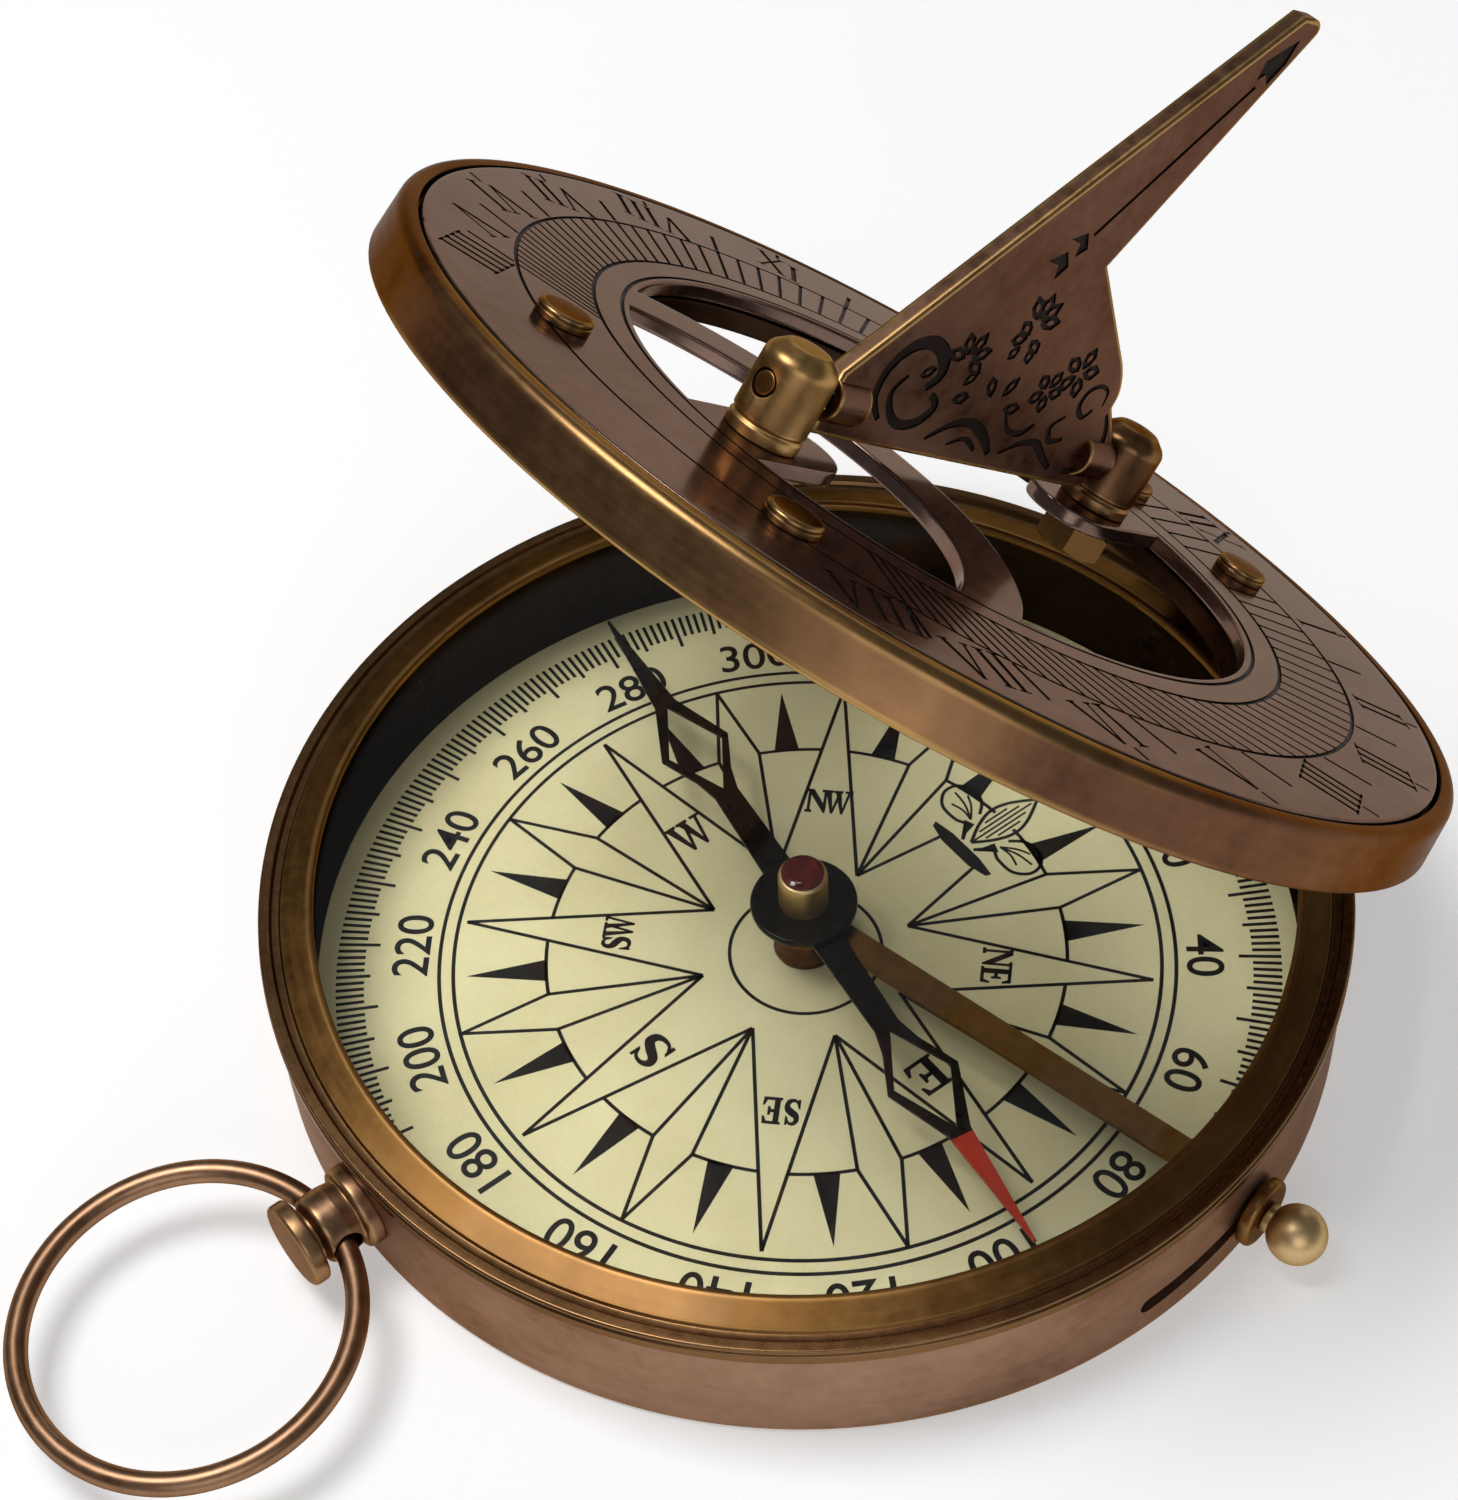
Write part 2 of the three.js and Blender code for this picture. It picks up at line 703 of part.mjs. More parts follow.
function makeSundialPlate() {
  const top = cutOver;
  const bottom = -plateThickness - cutOver;
  const web = tube(webOuterRadius - webWidth, webOuterRadius, bottom - cutOver, top + cutOver, ringSides);
  web.translate(0, webCentreY, 0);
  const window = solidOf(disc(windowRadius, bottom, top, ringSides));
  const openings = cut(window.subtract(tabSolid(1)).subtract(tabSolid(-1)), web);
  const plate = solidOf(disc(plateRadius, -plateThickness, 0, ringSides)).subtract(openings);
  const postHoles = [southPostY, northPostY].map((y) =>
    disc(postShankRadius + lidGap, bottom, top, smallSides).translate(0, y, 0));
  const studHoles = Object.values(studPlaces).map((place) => {
    const [x, y] = studCentre(place);
    return disc(studShankRadius + lidGap, bottom, top, smallSides).translate(x, y, 0);
  });
  return piece('sundial_plate', cut(plate, ...postHoles, ...studHoles), 'lacquer');
}

function makePlateStud(name, place) {
  const stud = piece(name, turned([
    [0, -plateThickness],
    [studShankRadius, -plateThickness],
    [studShankRadius, lidGap],
    [studRadius, lidGap],
    [studRadius, studHeight - studDome],
    [studRadius - studDome, studHeight],
    [0, studHeight],
  ], smallSides), 'brass');
  stud.position.set(...studCentre(place), 0);
  return stud;
}

function makeGnomonPost(name, y) {
  const nutBottom = -plateThickness - lidGap - nutThickness;
  const body = turned([
    [0, nutBottom - postShankBelowNut],
    [postShankRadius, nutBottom - postShankBelowNut],
    [postShankRadius, lidGap],
    [postBodyRadius, lidGap],
    [postBodyRadius, postFootBand],
    [postBodyRadius - postGroove, postFootBand + postGroove],
    [postBodyRadius, postFootBand + 2 * postGroove],
    [postBodyRadius, postBodyHeight - postDome],
    [postBodyRadius * Math.cos(quarterTurn / 3), postBodyHeight - postDome / 2],
    [postBodyRadius / 2, postBodyHeight - postDome / 8],
    [0, postBodyHeight],
  ]);
  const reach = postBodyRadius + cutOver;
  const hole = alongY(disc(gnomonPinRadius + lidGap, -reach, reach, smallSides));
  const post = piece(name, cut(solidOf(body), hole.translate(0, 0, foldHeight)), 'brass');
  post.position.y = y;
  return post;
}

function makePostNut(name, y) {
  const top = -plateThickness - lidGap;
  const corner = nutAcrossFlats / 2 / Math.cos(quarterTurn / 3);
  const hexagon = turned([[0, top - nutThickness], [corner, top - nutThickness], [corner, top], [0, top]], 6);
  const bore = disc(postShankRadius + lidGap, top - nutThickness - cutOver, top + cutOver, smallSides);
  const nut = piece(name, cut(solidOf(hexagon), bore), 'brass');
  nut.position.y = y;
  return nut;
}

// The pin runs from the post's far side into the gnomon's boss.
function makePivotPin(name, side) {
  const postY = side > 0 ? northPostY : southPostY;
  const bossEnd = side > 0 ? toeY : gnomonSouthY;
  const near = Math.abs(bossEnd) - gnomonPinInBoss;
  const far = Math.abs(postY) + postBodyRadius - lidGap;
  const pin = disc(gnomonPinRadius, near, far, smallSides);
  const laid = side > 0 ? alongY(pin) : alongMinusY(pin);
  return piece(name, laid.translate(0, 0, foldHeight), 'brass');
}

function makeGnomon() {
  const length = toeY - gnomonSouthY;
  const shareY = (share) => gnomonSouthY + share * length;
  const placed = ([along, high]) => [shareY(along), high * length];
  const [notch, shoulder, neck] = [notchShares, shoulderShares, neckShares].map(placed);
  const styleRise = Math.tan(styleAngle * degree);
  const styleAt = (y) => (y - shareY(styleFootShare)) * styleRise;
  const styleTopY = shareY(styleTopShare);
  const tipHeight = styleAt(styleTopY);
  const shape = new THREE.Shape();
  shape.moveTo(gnomonSouthY, gnomonLower);
  shape.lineTo(toeY - toeRound, gnomonLower);
  shape.quadraticCurveTo(toeY, gnomonLower, toeY, foldHeight);
  shape.quadraticCurveTo(toeY, toeHeight, toeY - toeRound / 2, toeHeight + toeRound / 2);
  shape.lineTo(...neck);
  shape.quadraticCurveTo(neck[0], (neck[1] + shoulder[1]) / 2, ...shoulder);
  shape.lineTo(...notch);
  shape.lineTo(styleTopY + tipWidth, tipHeight - tipDrop);
  shape.quadraticCurveTo(styleTopY + tipWidth / 2, tipHeight + tipDrop, styleTopY, tipHeight);
  shape.lineTo(gnomonSouthY, styleAt(gnomonSouthY));
  const plate = extruded(shape, gnomonThickness).rotateX(quarterTurn).rotateZ(quarterTurn);
  plate.translate(-gnomonThickness / 2, 0, 0);
  const bosses = [1, -1].map((side) => {
    const end = side > 0 ? toeY : -gnomonSouthY;
    const boss = disc(gnomonBossRadius, end - gnomonBossLength, end, smallSides);
    return (side > 0 ? alongY(boss) : alongMinusY(boss)).translate(0, 0, foldHeight);
  });
  const bores = [1, -1].map((side) => {
    const end = side > 0 ? toeY : -gnomonSouthY;
    const bore = disc(gnomonPinRadius + lidGap, end - gnomonPinInBoss - lidGap, end + cutOver, smallSides);
    return (side > 0 ? alongY(bore) : alongMinusY(bore)).translate(0, 0, foldHeight);
  });
  return piece('gnomon', cut(joined(plate, ...bosses), ...bores), 'dark');
}

function makeLidKnuckle() {
  const half = lidKnuckleWidth / 2;
  const axis = -lidTopAboveHinge;
  const barrel = alongX(disc(knuckleRadius, -half, half)).translate(0, hingeY, axis);
  const padOuter = lidBottomRadius + lidGap + lidLeafThickness;
  const bottom = lidRest - lidDepth;
  const pad = block(-half, half, lidTopRadius - lidTaper, padOuter, bottom, bottom + lidLeafHeight);
  const arm = block(-half, half, lidTopRadius - lidTaper, hingeY, axis, axis + knuckleRadius);
  const rim = turned([
    [0, -lidDepth],
    [lidBottomRadius + lidGap, -lidDepth],
    [lidTopRadius + lidGap, 0],
    [0, 0],
  ], ringSides);
  const bore = alongX(disc(pinRadius + runGap, -hingeWidth, hingeWidth, smallSides));
  bore.translate(0, hingeY, axis);
  return piece('lid_hinge_knuckle', cut(joined(barrel, pad, arm), rim, bore), 'dark');
}

// The assembly

const compass = new THREE.Group();
compass.add(makeCaseCup());
compass.add(piece('dial_card', tube(cardHole, seatRingOuter, cardBottom, cardTop, ringSides), 'card'));
compass.add(makeSeatRing());
compass.add(piece('crystal_glass', disc(glassRadius, glassBottom, glassTop, ringSides), 'glass'));
compass.add(makeBezelRing());
compass.add(makePivotPost());
compass.add(makeBush());
compass.add(makePendant());
compass.add(makeBail());
compass.add(makeCaseLeaf());
compass.add(makeHingePin());

const lock = new THREE.Group();
lock.rotation.z = lockAngle;
lock.add(makeLockArm());
lock.add(makeLockStem());
lock.add(makeLockCollar());
lock.add(makeLockKnob());
compass.add(lock);

const needleGroup = new THREE.Group();
needleGroup.rotation.z = quarterTurn - needleAzimuth * degree;
needleGroup.add(makeNeedle());
needleGroup.add(makeHub());
needleGroup.add(makeCap());
needleGroup.add(makeJewel());
compass.add(needleGroup);

const hinge = new THREE.Group();
hinge.position.set(0, hingeY, hingeZ);
hinge.rotation.x = -lidAngle * degree;
const lid = new THREE.Group();
lid.position.set(0, -hingeY, lidTopAboveHinge);
lid.add(makeLidRim());
lid.add(makeLidKnuckle());
lid.add(makeSundialPlate());
Object.entries(studPlaces).forEach(([corner, place]) => {
  lid.add(makePlateStud(`plate_stud_${corner}`, place));
});
lid.add(makeGnomonPost('gnomon_post_south', southPostY));
lid.add(makeGnomonPost('gnomon_post_north', northPostY));
lid.add(makePostNut('post_nut_south', southPostY));
lid.add(makePostNut('post_nut_north', northPostY));
lid.add(makePivotPin('pivot_pin_south', -1));
lid.add(makePivotPin('pivot_pin_north', 1));
lid.add(makeGnomon());
hinge.add(lid);
compass.add(hinge);

export default compass;
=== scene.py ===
from math import asin, atan2, cos, degrees, hypot, pi, radians, sin, sqrt, tan, tau

import bmesh
import bpy
from mathutils import Matrix, Vector
from mathutils.geometry import delaunay_2d_cdt


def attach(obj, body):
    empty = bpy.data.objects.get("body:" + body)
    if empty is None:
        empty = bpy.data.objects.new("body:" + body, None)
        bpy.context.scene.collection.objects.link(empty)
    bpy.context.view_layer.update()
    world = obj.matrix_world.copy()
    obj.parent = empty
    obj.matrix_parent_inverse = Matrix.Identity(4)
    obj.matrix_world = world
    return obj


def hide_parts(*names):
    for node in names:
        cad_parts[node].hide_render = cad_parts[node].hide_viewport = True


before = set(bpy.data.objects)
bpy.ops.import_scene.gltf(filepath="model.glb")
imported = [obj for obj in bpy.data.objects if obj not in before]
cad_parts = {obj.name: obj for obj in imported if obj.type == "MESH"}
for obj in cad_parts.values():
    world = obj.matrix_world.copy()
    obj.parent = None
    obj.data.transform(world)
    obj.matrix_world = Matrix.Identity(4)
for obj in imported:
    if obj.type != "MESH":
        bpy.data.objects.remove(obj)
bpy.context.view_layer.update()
scene = bpy.context.scene
MM = 0.001


# Frames of the moving groups, in metres

HINGE_Y = 42.5
HINGE_Z = 12.41
LID_TOP = 3.84
LID_ANGLE = 41.25
STEM_Z = 4
LOCK_ANGLE = 12.5
NEEDLE_ANGLE = -10
PENDANT_Z = 5.8
PIVOT_Y = 42.35
BAIL_RADIUS = 11.8
BAIL_WIRE = 0.85
BAIL_TILT = 3
FOLD_H = 3.5


def shift(x, y, z):
    return Matrix.Translation((x * MM, y * MM, z * MM))


def turn(angle, axis):
    return Matrix.Rotation(radians(angle), 4, axis)


ROW = Matrix.Identity(4)
LID = shift(0, HINGE_Y, HINGE_Z) @ turn(-LID_ANGLE, "X") @ shift(0, -HINGE_Y, LID_TOP)
LOCK = turn(LOCK_ANGLE, "Z")
NEEDLE = turn(NEEDLE_ANGLE, "Z")
BAIL = shift(0, -PIVOT_Y, PENDANT_Z) @ turn(BAIL_TILT, "X") @ shift(0, -BAIL_RADIUS, 0)

# Frames of turned pieces that lie: their Z runs along the lock's stem, the pendant and the fold's axis
STEM = shift(0, 0, STEM_Z) @ turn(90, "Y")
PENDANT = shift(0, 0, PENDANT_Z) @ turn(90, "X")
FOLD_SOUTH = shift(0, 0, FOLD_H) @ turn(90, "X")
FOLD_NORTH = shift(0, 0, FOLD_H) @ turn(-90, "X")


def placed(name, data):
    thing = bpy.data.objects.new(name, data)
    scene.collection.objects.link(thing)
    return thing


# Camera, fitted to the photograph

FOCAL = 3081.43
LONG_SIDE = 1500
CAMERA_PLACE = (0.10976, -0.0818, 0.19068)
camera_data = bpy.data.cameras.new("camera")
camera_data.sensor_width = 36
camera_data.lens = FOCAL * camera_data.sensor_width / LONG_SIDE
camera_data.clip_start = 0.01
camera_data.clip_end = 20
camera = placed("camera", camera_data)
scene.camera = camera
back = Vector((0.5233, -0.3625, 0.7712)).normalized()
side = Vector((0.6134, 0.7885, -0.0456))
side = (side - back * side.dot(back)).normalized()
turned_camera = Matrix((side, back.cross(side), back)).transposed().to_4x4()
camera.matrix_world = Matrix.Translation(CAMERA_PLACE) @ turned_camera


# Materials. A socket knows its node tree, so a helper takes the tree from the socket that it gets.

def nodes_of(name):
    made = bpy.data.materials.new(name)
    made.use_nodes = True
    return made, made.node_tree, made.node_tree.nodes["Principled BSDF"]


def preset(node, **values):
    """Sets sockets by name, with _ for a space."""
    for name, value in values.items():
        node.inputs[name.replace("_", " ")].default_value = value


def new_node(tree, kind, **values):
    node = tree.nodes.new("ShaderNode" + kind)
    preset(node, **values)
    return node


def link(source, target):
    target.id_data.links.new(source, target)


def attribute(tree, name, output):
    node = new_node(tree, "Attribute")
    node.attribute_name = name
    return node.outputs[output]


def own_place(tree):
    """Position in the piece's own frame, which as_object stores in the mesh."""
    return attribute(tree, "local", "Vector")


def noise(vector, scale, detail, roughness):
    node = new_node(vector.id_data, "TexNoise", Scale=scale, Detail=detail, Roughness=roughness)
    link(vector, node.inputs["Vector"])
    return node.outputs["Fac"]


def ramp(factor, stops):
    node = new_node(factor.id_data, "ValToRGB")
    elements = node.color_ramp.elements
    while len(elements) < len(stops):
        elements.new(0.5)
    for element, (place, colour) in zip(elements, stops):
        element.position = place
        element.color = (*colour, 1)
    link(factor, node.inputs["Fac"])
    return node.outputs["Color"]


def span(value, low, high, start=0.3, end=0.7):
    """low where the value is start or less, high where it is end or more."""
    node = new_node(value.id_data, "MapRange", From_Min=start, From_Max=end, To_Min=low, To_Max=high)
    link(value, node.inputs["Value"])
    return node.outputs["Result"]


def math_node(operation, a, b=None):
    node = new_node(a.id_data, "Math")
    node.operation = operation
    for socket, value in zip(node.inputs, (a, b)):
        if isinstance(value, (int, float)):
            socket.default_value = value
        elif value is not None:
            link(value, socket)
    return node.outputs["Value"]


def weighted(*pairs):
    """The sum of sockets, each times its weight."""
    total = None
    for value, weight in pairs:
        part = math_node("MULTIPLY", value, weight)
        total = part if total is None else math_node("ADD", total, part)
    return total


def towards(factor, colour, goal):
    """The colour where factor is 0, and the plain colour goal where it is 1."""
    node = new_node(factor.id_data, "Mix")
    node.data_type = "RGBA"
    link(factor, node.inputs[0])
    link(colour, node.inputs[6])
    node.inputs[7].default_value = (*goal, 1)
    return node.outputs[2]


def polar_vector(position, around, across):
    """Coordinates that stretch a noise into rings round the object's own Z axis."""
    parts = new_node(position.id_data, "SeparateXYZ")
    link(position, parts.inputs["Vector"])
    x, y, z = parts.outputs
    radius = math_node("SQRT", math_node("ADD", math_node("POWER", x, 2), math_node("POWER", y, 2)))
    joined = new_node(position.id_data, "CombineXYZ")
    for socket, value in zip(joined.inputs, (x, y)):
        share = math_node("DIVIDE", value, math_node("MAXIMUM", radius, 0.0001))
        link(math_node("MULTIPLY", share, around), socket)
    link(math_node("MULTIPLY", math_node("ADD", radius, z), across), joined.inputs["Z"])
    return joined.outputs["Vector"]


def bump(shader, height, strength, distance):
    node = new_node(height.id_data, "Bump", Strength=strength, Distance=distance)
    link(height, node.inputs["Height"])
    link(node.outputs["Normal"], shader.inputs["Normal"])


BASE_BLOTCH = 90
RINGS_AROUND = 5
RINGS_ACROSS = 2600
COAT_ROUGHNESS = 0.08
METAL_RELIEF = 0.00005


def metal(name, dark, base, light, rough=(0.3, 0.45), metallic=1.0, blotch=BASE_BLOTCH, turned=True,
          coat=0.0, worn=None, wear=0.6, tint=(0.45, 0.36, 0.3), polish=0.1, carried=False):
    """A worn metal. carried is for a CAD node that stays, which has no place of its own stored."""
    made, tree, shader = nodes_of(name)
    place = new_node(tree, "TexCoord").outputs["Object"] if carried else own_place(tree)
    wide = noise(place, blotch, 6, 0.62)
    fine = noise(place, blotch * 11, 4, 0.6)
    rings = noise(polar_vector(place, RINGS_AROUND, RINGS_ACROSS), 1, 3, 0.55) if turned else fine
    colour = ramp(weighted((wide, 0.62), (fine, 0.22), (rings, 0.16)),
                  [(0.32, dark), (0.5, base), (0.68, light)])
    if worn is not None:
        rub = math_node("MULTIPLY", attribute(tree, "edge", "Fac"), math_node("ADD", wide, 0.45))
        colour = towards(span(rub, 0, wear, 0.35, 0.95), colour, worn)
    link(colour, shader.inputs["Base Color"])
    spread = weighted((fine, 0.5), (rings, 0.5))
    link(span(spread, *rough), shader.inputs["Roughness"])
    preset(shader, Metallic=metallic, Specular_Tint=(*tint, 1), Coat_Weight=coat,
           Coat_Roughness=COAT_ROUGHNESS)
    bump(shader, spread, polish, METAL_RELIEF)
    return made


PATINA = {"dark": (0.21, 0.122, 0.08), "base": (0.34, 0.208, 0.142), "light": (0.44, 0.278, 0.195),
          "rough": (0.32, 0.47), "worn": (0.5, 0.31, 0.15), "wear": 0.5}
WARM = {"dark": (0.1, 0.046, 0.013), "base": (0.175, 0.086, 0.025), "light": (0.25, 0.13, 0.042),
        "coat": 0.08, "rough": (0.3, 0.44), "worn": (0.44, 0.24, 0.08), "wear": 0.3}
BRIGHT = {"dark": (0.27, 0.145, 0.052), "base": (0.43, 0.25, 0.096), "light": (0.56, 0.34, 0.14),
          "rough": (0.3, 0.44), "worn": (0.6, 0.38, 0.15)}
# The lid's worn gold is raised for a painted highlight on its edges, on top of their wear.
LID_DARK = {"dark": (0.105, 0.048, 0.026), "base": (0.168, 0.08, 0.044), "light": (0.232, 0.115, 0.066),
            "rough": (0.27, 0.4), "worn": (0.5, 0.3, 0.105), "wear": 0.85}
patina = metal("patina", **PATINA)
warm = metal("warm", **WARM)
bright = metal("bright", **BRIGHT)
lid_dark = metal("lid_dark", **LID_DARK)
bronze = metal("bronze", (0.165, 0.085, 0.045), (0.295, 0.166, 0.095), (0.41, 0.243, 0.145),
               (0.29, 0.43), worn=(0.5, 0.31, 0.13), wear=0.3)
brown = metal("brown", (0.09, 0.042, 0.02), (0.16, 0.08, 0.038), (0.25, 0.13, 0.064), (0.25, 0.38),
              worn=(0.5, 0.3, 0.12), wear=0.45)
# Painted shade: a darker copy of the bezel's brass, for its outer side.
band = metal("band", (0.06, 0.026, 0.013), (0.105, 0.048, 0.025), (0.155, 0.074, 0.039), (0.22, 0.34),
             coat=0.2, worn=(0.34, 0.19, 0.07), wear=0.4)
# Painted shade: brass darkened to near-black for the seat ring, the wall seen inside the case between
# card and glass.
inner_dark = metal("inner_dark", (0.012, 0.008, 0.005), (0.027, 0.018, 0.011), (0.048, 0.032, 0.02),
                   (0.36, 0.5), tint=(0.12, 0.08, 0.06))
cap_brass = metal("cap_brass", (0.55, 0.36, 0.16), (0.7, 0.49, 0.24), (0.8, 0.59, 0.31), (0.36, 0.48))
# Painted shade: dark brass for the inner wall of the lid's window.
shade = metal("shade", (0.03, 0.017, 0.01), (0.055, 0.031, 0.019), (0.085, 0.049, 0.03), (0.36, 0.5),
              tint=(0.15, 0.1, 0.07))
# Painted shade: near-black, for the wall of the lid's hollow in the narrow gap round the hour plate.
gap_shade = metal("gap_shade", (0.004, 0.002, 0.0015), (0.009, 0.005, 0.0035), (0.016, 0.009, 0.006),
              (0.5, 0.7), metallic=0.5, turned=False, tint=(0.1, 0.07, 0.05))
plate_face = metal("plate_face", (0.115, 0.068, 0.052), (0.172, 0.107, 0.085), (0.232, 0.15, 0.124),
                   (0.14, 0.22), metallic=0.9, blotch=60, turned=False, coat=0.12, polish=0.04)
# Near-black: the engraving's dark fill, and painted shade on the hour plate's outer edge.
plate_deep = metal("plate_deep", (0.006, 0.003, 0.002), (0.012, 0.007, 0.005), (0.022, 0.013, 0.01),
                   (0.4, 0.6), metallic=0.6, turned=False)
blade = metal("blade", (0.09, 0.045, 0.03), (0.138, 0.073, 0.051), (0.185, 0.103, 0.072), (0.26, 0.38),
              turned=False, worn=(0.5, 0.3, 0.11), wear=0.75)
steel = metal("steel", (0.003, 0.0027, 0.0025), (0.007, 0.006, 0.005), (0.013, 0.011, 0.009),
              (0.24, 0.36), metallic=0.4, turned=False, coat=0.15, tint=(0.3, 0.27, 0.24))
red_paint = metal("red_paint", (0.24, 0.014, 0.005), (0.34, 0.022, 0.008), (0.42, 0.035, 0.013),
                  (0.45, 0.6), metallic=0.0, turned=False)


def surface(name, stops, grain, rough, relief, cloud=None, **values):
    """A surface that isn't metal. grain and cloud set its noises, and relief sets its bump."""
    made, tree, shader = nodes_of(name)
    place = own_place(tree)
    fine = noise(place, *grain)
    mixed = weighted((noise(place, *cloud), 0.75), (fine, 0.25)) if cloud else fine
    link(ramp(mixed, stops), shader.inputs["Base Color"])
    link(span(fine, *rough), shader.inputs["Roughness"])
    preset(shader, **values)
    bump(shader, fine, *relief)
    return made


def make_glass():
    made, tree, shader = nodes_of("glass")
    smear = noise(own_place(tree), 70, 5, 0.65)
    link(span(smear, 0.0, 0.045), shader.inputs["Roughness"])
    preset(shader, Base_Color=(0.985, 0.995, 0.985, 1), Transmission_Weight=1, IOR=1.35,
           Specular_IOR_Level=0.2)
    bump(shader, smear, 0.02, 0.00002)
    mixer = new_node(tree, "MixShader")
    link(new_node(tree, "LightPath").outputs["Is Shadow Ray"], mixer.inputs[0])
    link(shader.outputs[0], mixer.inputs[1])
    link(new_node(tree, "BsdfTransparent").outputs[0], mixer.inputs[2])
    link(mixer.outputs[0], tree.nodes["Material Output"].inputs["Surface"])
    return made


card = surface("card", [(0.36, (0.53, 0.475, 0.255)), (0.5, (0.61, 0.555, 0.315)),
                        (0.64, (0.67, 0.615, 0.365))],
               (2600, 5, 0.7), (0.5, 0.68), (0.25, 0.00002), cloud=(45, 5, 0.6),
               Specular_IOR_Level=0.25)
ink = surface("ink", [(0.3, (0.003, 0.0025, 0.0025)), (0.7, (0.009, 0.0075, 0.007))],
              (2400, 4, 0.6), (0.45, 0.6), (0.1, 0.00001), Specular_IOR_Level=0.15)
jewel = surface("jewel", [(0.35, (0.05, 0.004, 0.004)), (0.65, (0.12, 0.01, 0.008))],
                (900, 4, 0.6), (0.08, 0.18), (0.05, 0.00002), Coat_Weight=0.25)
glass = make_glass()


# Mesh helpers

def as_object(name, mesh, material, matrix, body, slot, *nodes, axis=ROW):
    """Puts a finished mesh in the scene on its body. Its coordinates are metres in the frame of matrix.
    axis is the piece's own frame in them, which the materials follow."""
    place = mesh.attributes.new("local", "FLOAT_VECTOR", "POINT")
    own = axis.inverted()
    place.data.foreach_set("vector", [value for vertex in mesh.vertices for value in own @ vertex.co])
    mesh.transform(matrix)
    piece = placed(name, mesh)
    for look in material if isinstance(material, list) else [material]:
        mesh.materials.append(look)
    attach(piece, body)
    if nodes:
        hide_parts(*nodes)
    return piece


def smooth(mesh, angle=32):
    mesh.shade_smooth()
    mesh.set_sharp_from_angle(angle=radians(angle))


def add(name, mesh, material, matrix, body, slot, *nodes, axis=ROW, angle=32):
    """as_object for a mesh that is smooth apart from its sharp edges, with its flat faces kept flat."""
    smooth(mesh, angle)
    piece = as_object(name, mesh, material, matrix, body, slot, *nodes, axis=axis)
    modifier = piece.modifiers.new("even", "WEIGHTED_NORMAL")
    modifier.keep_sharp = True
    modifier.weight = 60


def mesh_from(bm, name, outward=True):
    """The finished mesh of a bmesh, with its faces turned outward."""
    if outward:
        bmesh.ops.recalc_face_normals(bm, faces=bm.faces)
    mesh = bpy.data.meshes.new(name)
    bm.to_mesh(mesh)
    bm.free()
    return mesh


def radius_of(place):
    return hypot(place.x, place.y) / MM


GUARD = 0.22


def guarded(points, ring):
    """Adds a point just beyond each arc, so that the worn edge stays as narrow as the arc."""
    made = []
    count = len(points)
    for i, point in enumerate(points):
        made.append(point)
        if i == count - 1 and not ring:
            break
        following = points[(i + 1) % count]
        start, end = Vector(point[:2]), Vector(following[:2])
        length = (end - start).length
        if length < 3 * GUARD:
            continue
        if point[2] > 0:
            made.append((*start.lerp(end, GUARD / length), 0.0))
        if following[2] > 0:
            made.append((*start.lerp(end, 1 - GUARD / length), 0.0))
    return made


WORN_FILLET = 0.55


def rounded(points, steps, ring):
    """A profile of (r, z) or (r, z, fillet): corners with a fillet turn into arcs.
    Returns (r, z, edge), where edge is 1 on small arcs and less on wide ones."""
    made = []
    count = len(points)
    for i, point in enumerate(points):
        here = Vector(point[:2])
        fillet = point[2] if len(point) > 2 else 0
        if fillet == 0:
            made.append((*here, 0.0))
            continue
        before = (Vector(points[i - 1][:2]) - here).normalized()
        after = (Vector(points[(i + 1) % count][:2]) - here).normalized()
        half = before.angle(after) / 2
        run = fillet / tan(half)
        centre = here + (before + after).normalized() * (fillet / sin(half))
        start = here + before * run - centre
        end = here + after * run - centre
        sweep = start.angle_signed(end)
        for k in range(steps + 1):
            part = Vector(start)
            part.rotate(Matrix.Rotation(-sweep * k / steps, 2))
            made.append((*(centre + part), min(1.0, WORN_FILLET / fillet)))
    return guarded(made, ring)


def circle(radius, sides=192, centre=(0, 0)):
    return [(centre[0] + radius * cos(tau * k / sides), centre[1] + radius * sin(tau * k / sides))
            for k in range(sides)]


def row_of(bm, points, z, edge=None, mark=0.0):
    """Vertices at one height. edge is the layer that holds how worn they are."""
    row = [bm.verts.new((x * MM, y * MM, z * MM)) for x, y in points]
    if edge:
        for vertex in row:
            vertex[edge] = mark
    return row


def bridge(bm, low, high):
    """Faces between two closed rows, either of which may be a single vertex."""
    count = max(len(low), len(high))
    for k in range(count):
        j = (k + 1) % count
        corners = [low[k % len(low)], low[j % len(low)], high[j % len(high)], high[k % len(high)]]
        corners = list(dict.fromkeys(corners))
        if len(corners) > 2:
            bm.faces.new(corners)


ON_AXIS = 1e-9


def lathe_mesh(name, profile, sides=96, ring=False, steps=4):
    """Turns a profile round Z. ring joins the last point to the first."""
    bm = bmesh.new()
    edge = bm.verts.layers.float.new("edge")
    rows = []
    for radius, z, mark in rounded(profile, steps, ring):
        points = circle(radius, sides) if radius > ON_AXIS else [(0, 0)]
        rows.append(row_of(bm, points, z, edge, mark))
    for low, high in neighbours(rows) if ring else zip(rows, rows[1:]):
        bridge(bm, low, high)
    return mesh_from(bm, name)


def washer(inner, outer, low, high, fillets, sides=96):
    """A flat ring, with fillets for its corners from low inside round to high inside."""
    corners = ((inner, low), (outer, low), (outer, high), (inner, high))
    profile = [(*corner, fillet) for corner, fillet in zip(corners, fillets)]
    return lathe_mesh("washer", profile, sides, ring=True)


def evaluated(piece):
    graph = bpy.context.evaluated_depsgraph_get()
    graph.update()
    return bpy.data.meshes.new_from_object(piece.evaluated_get(graph))


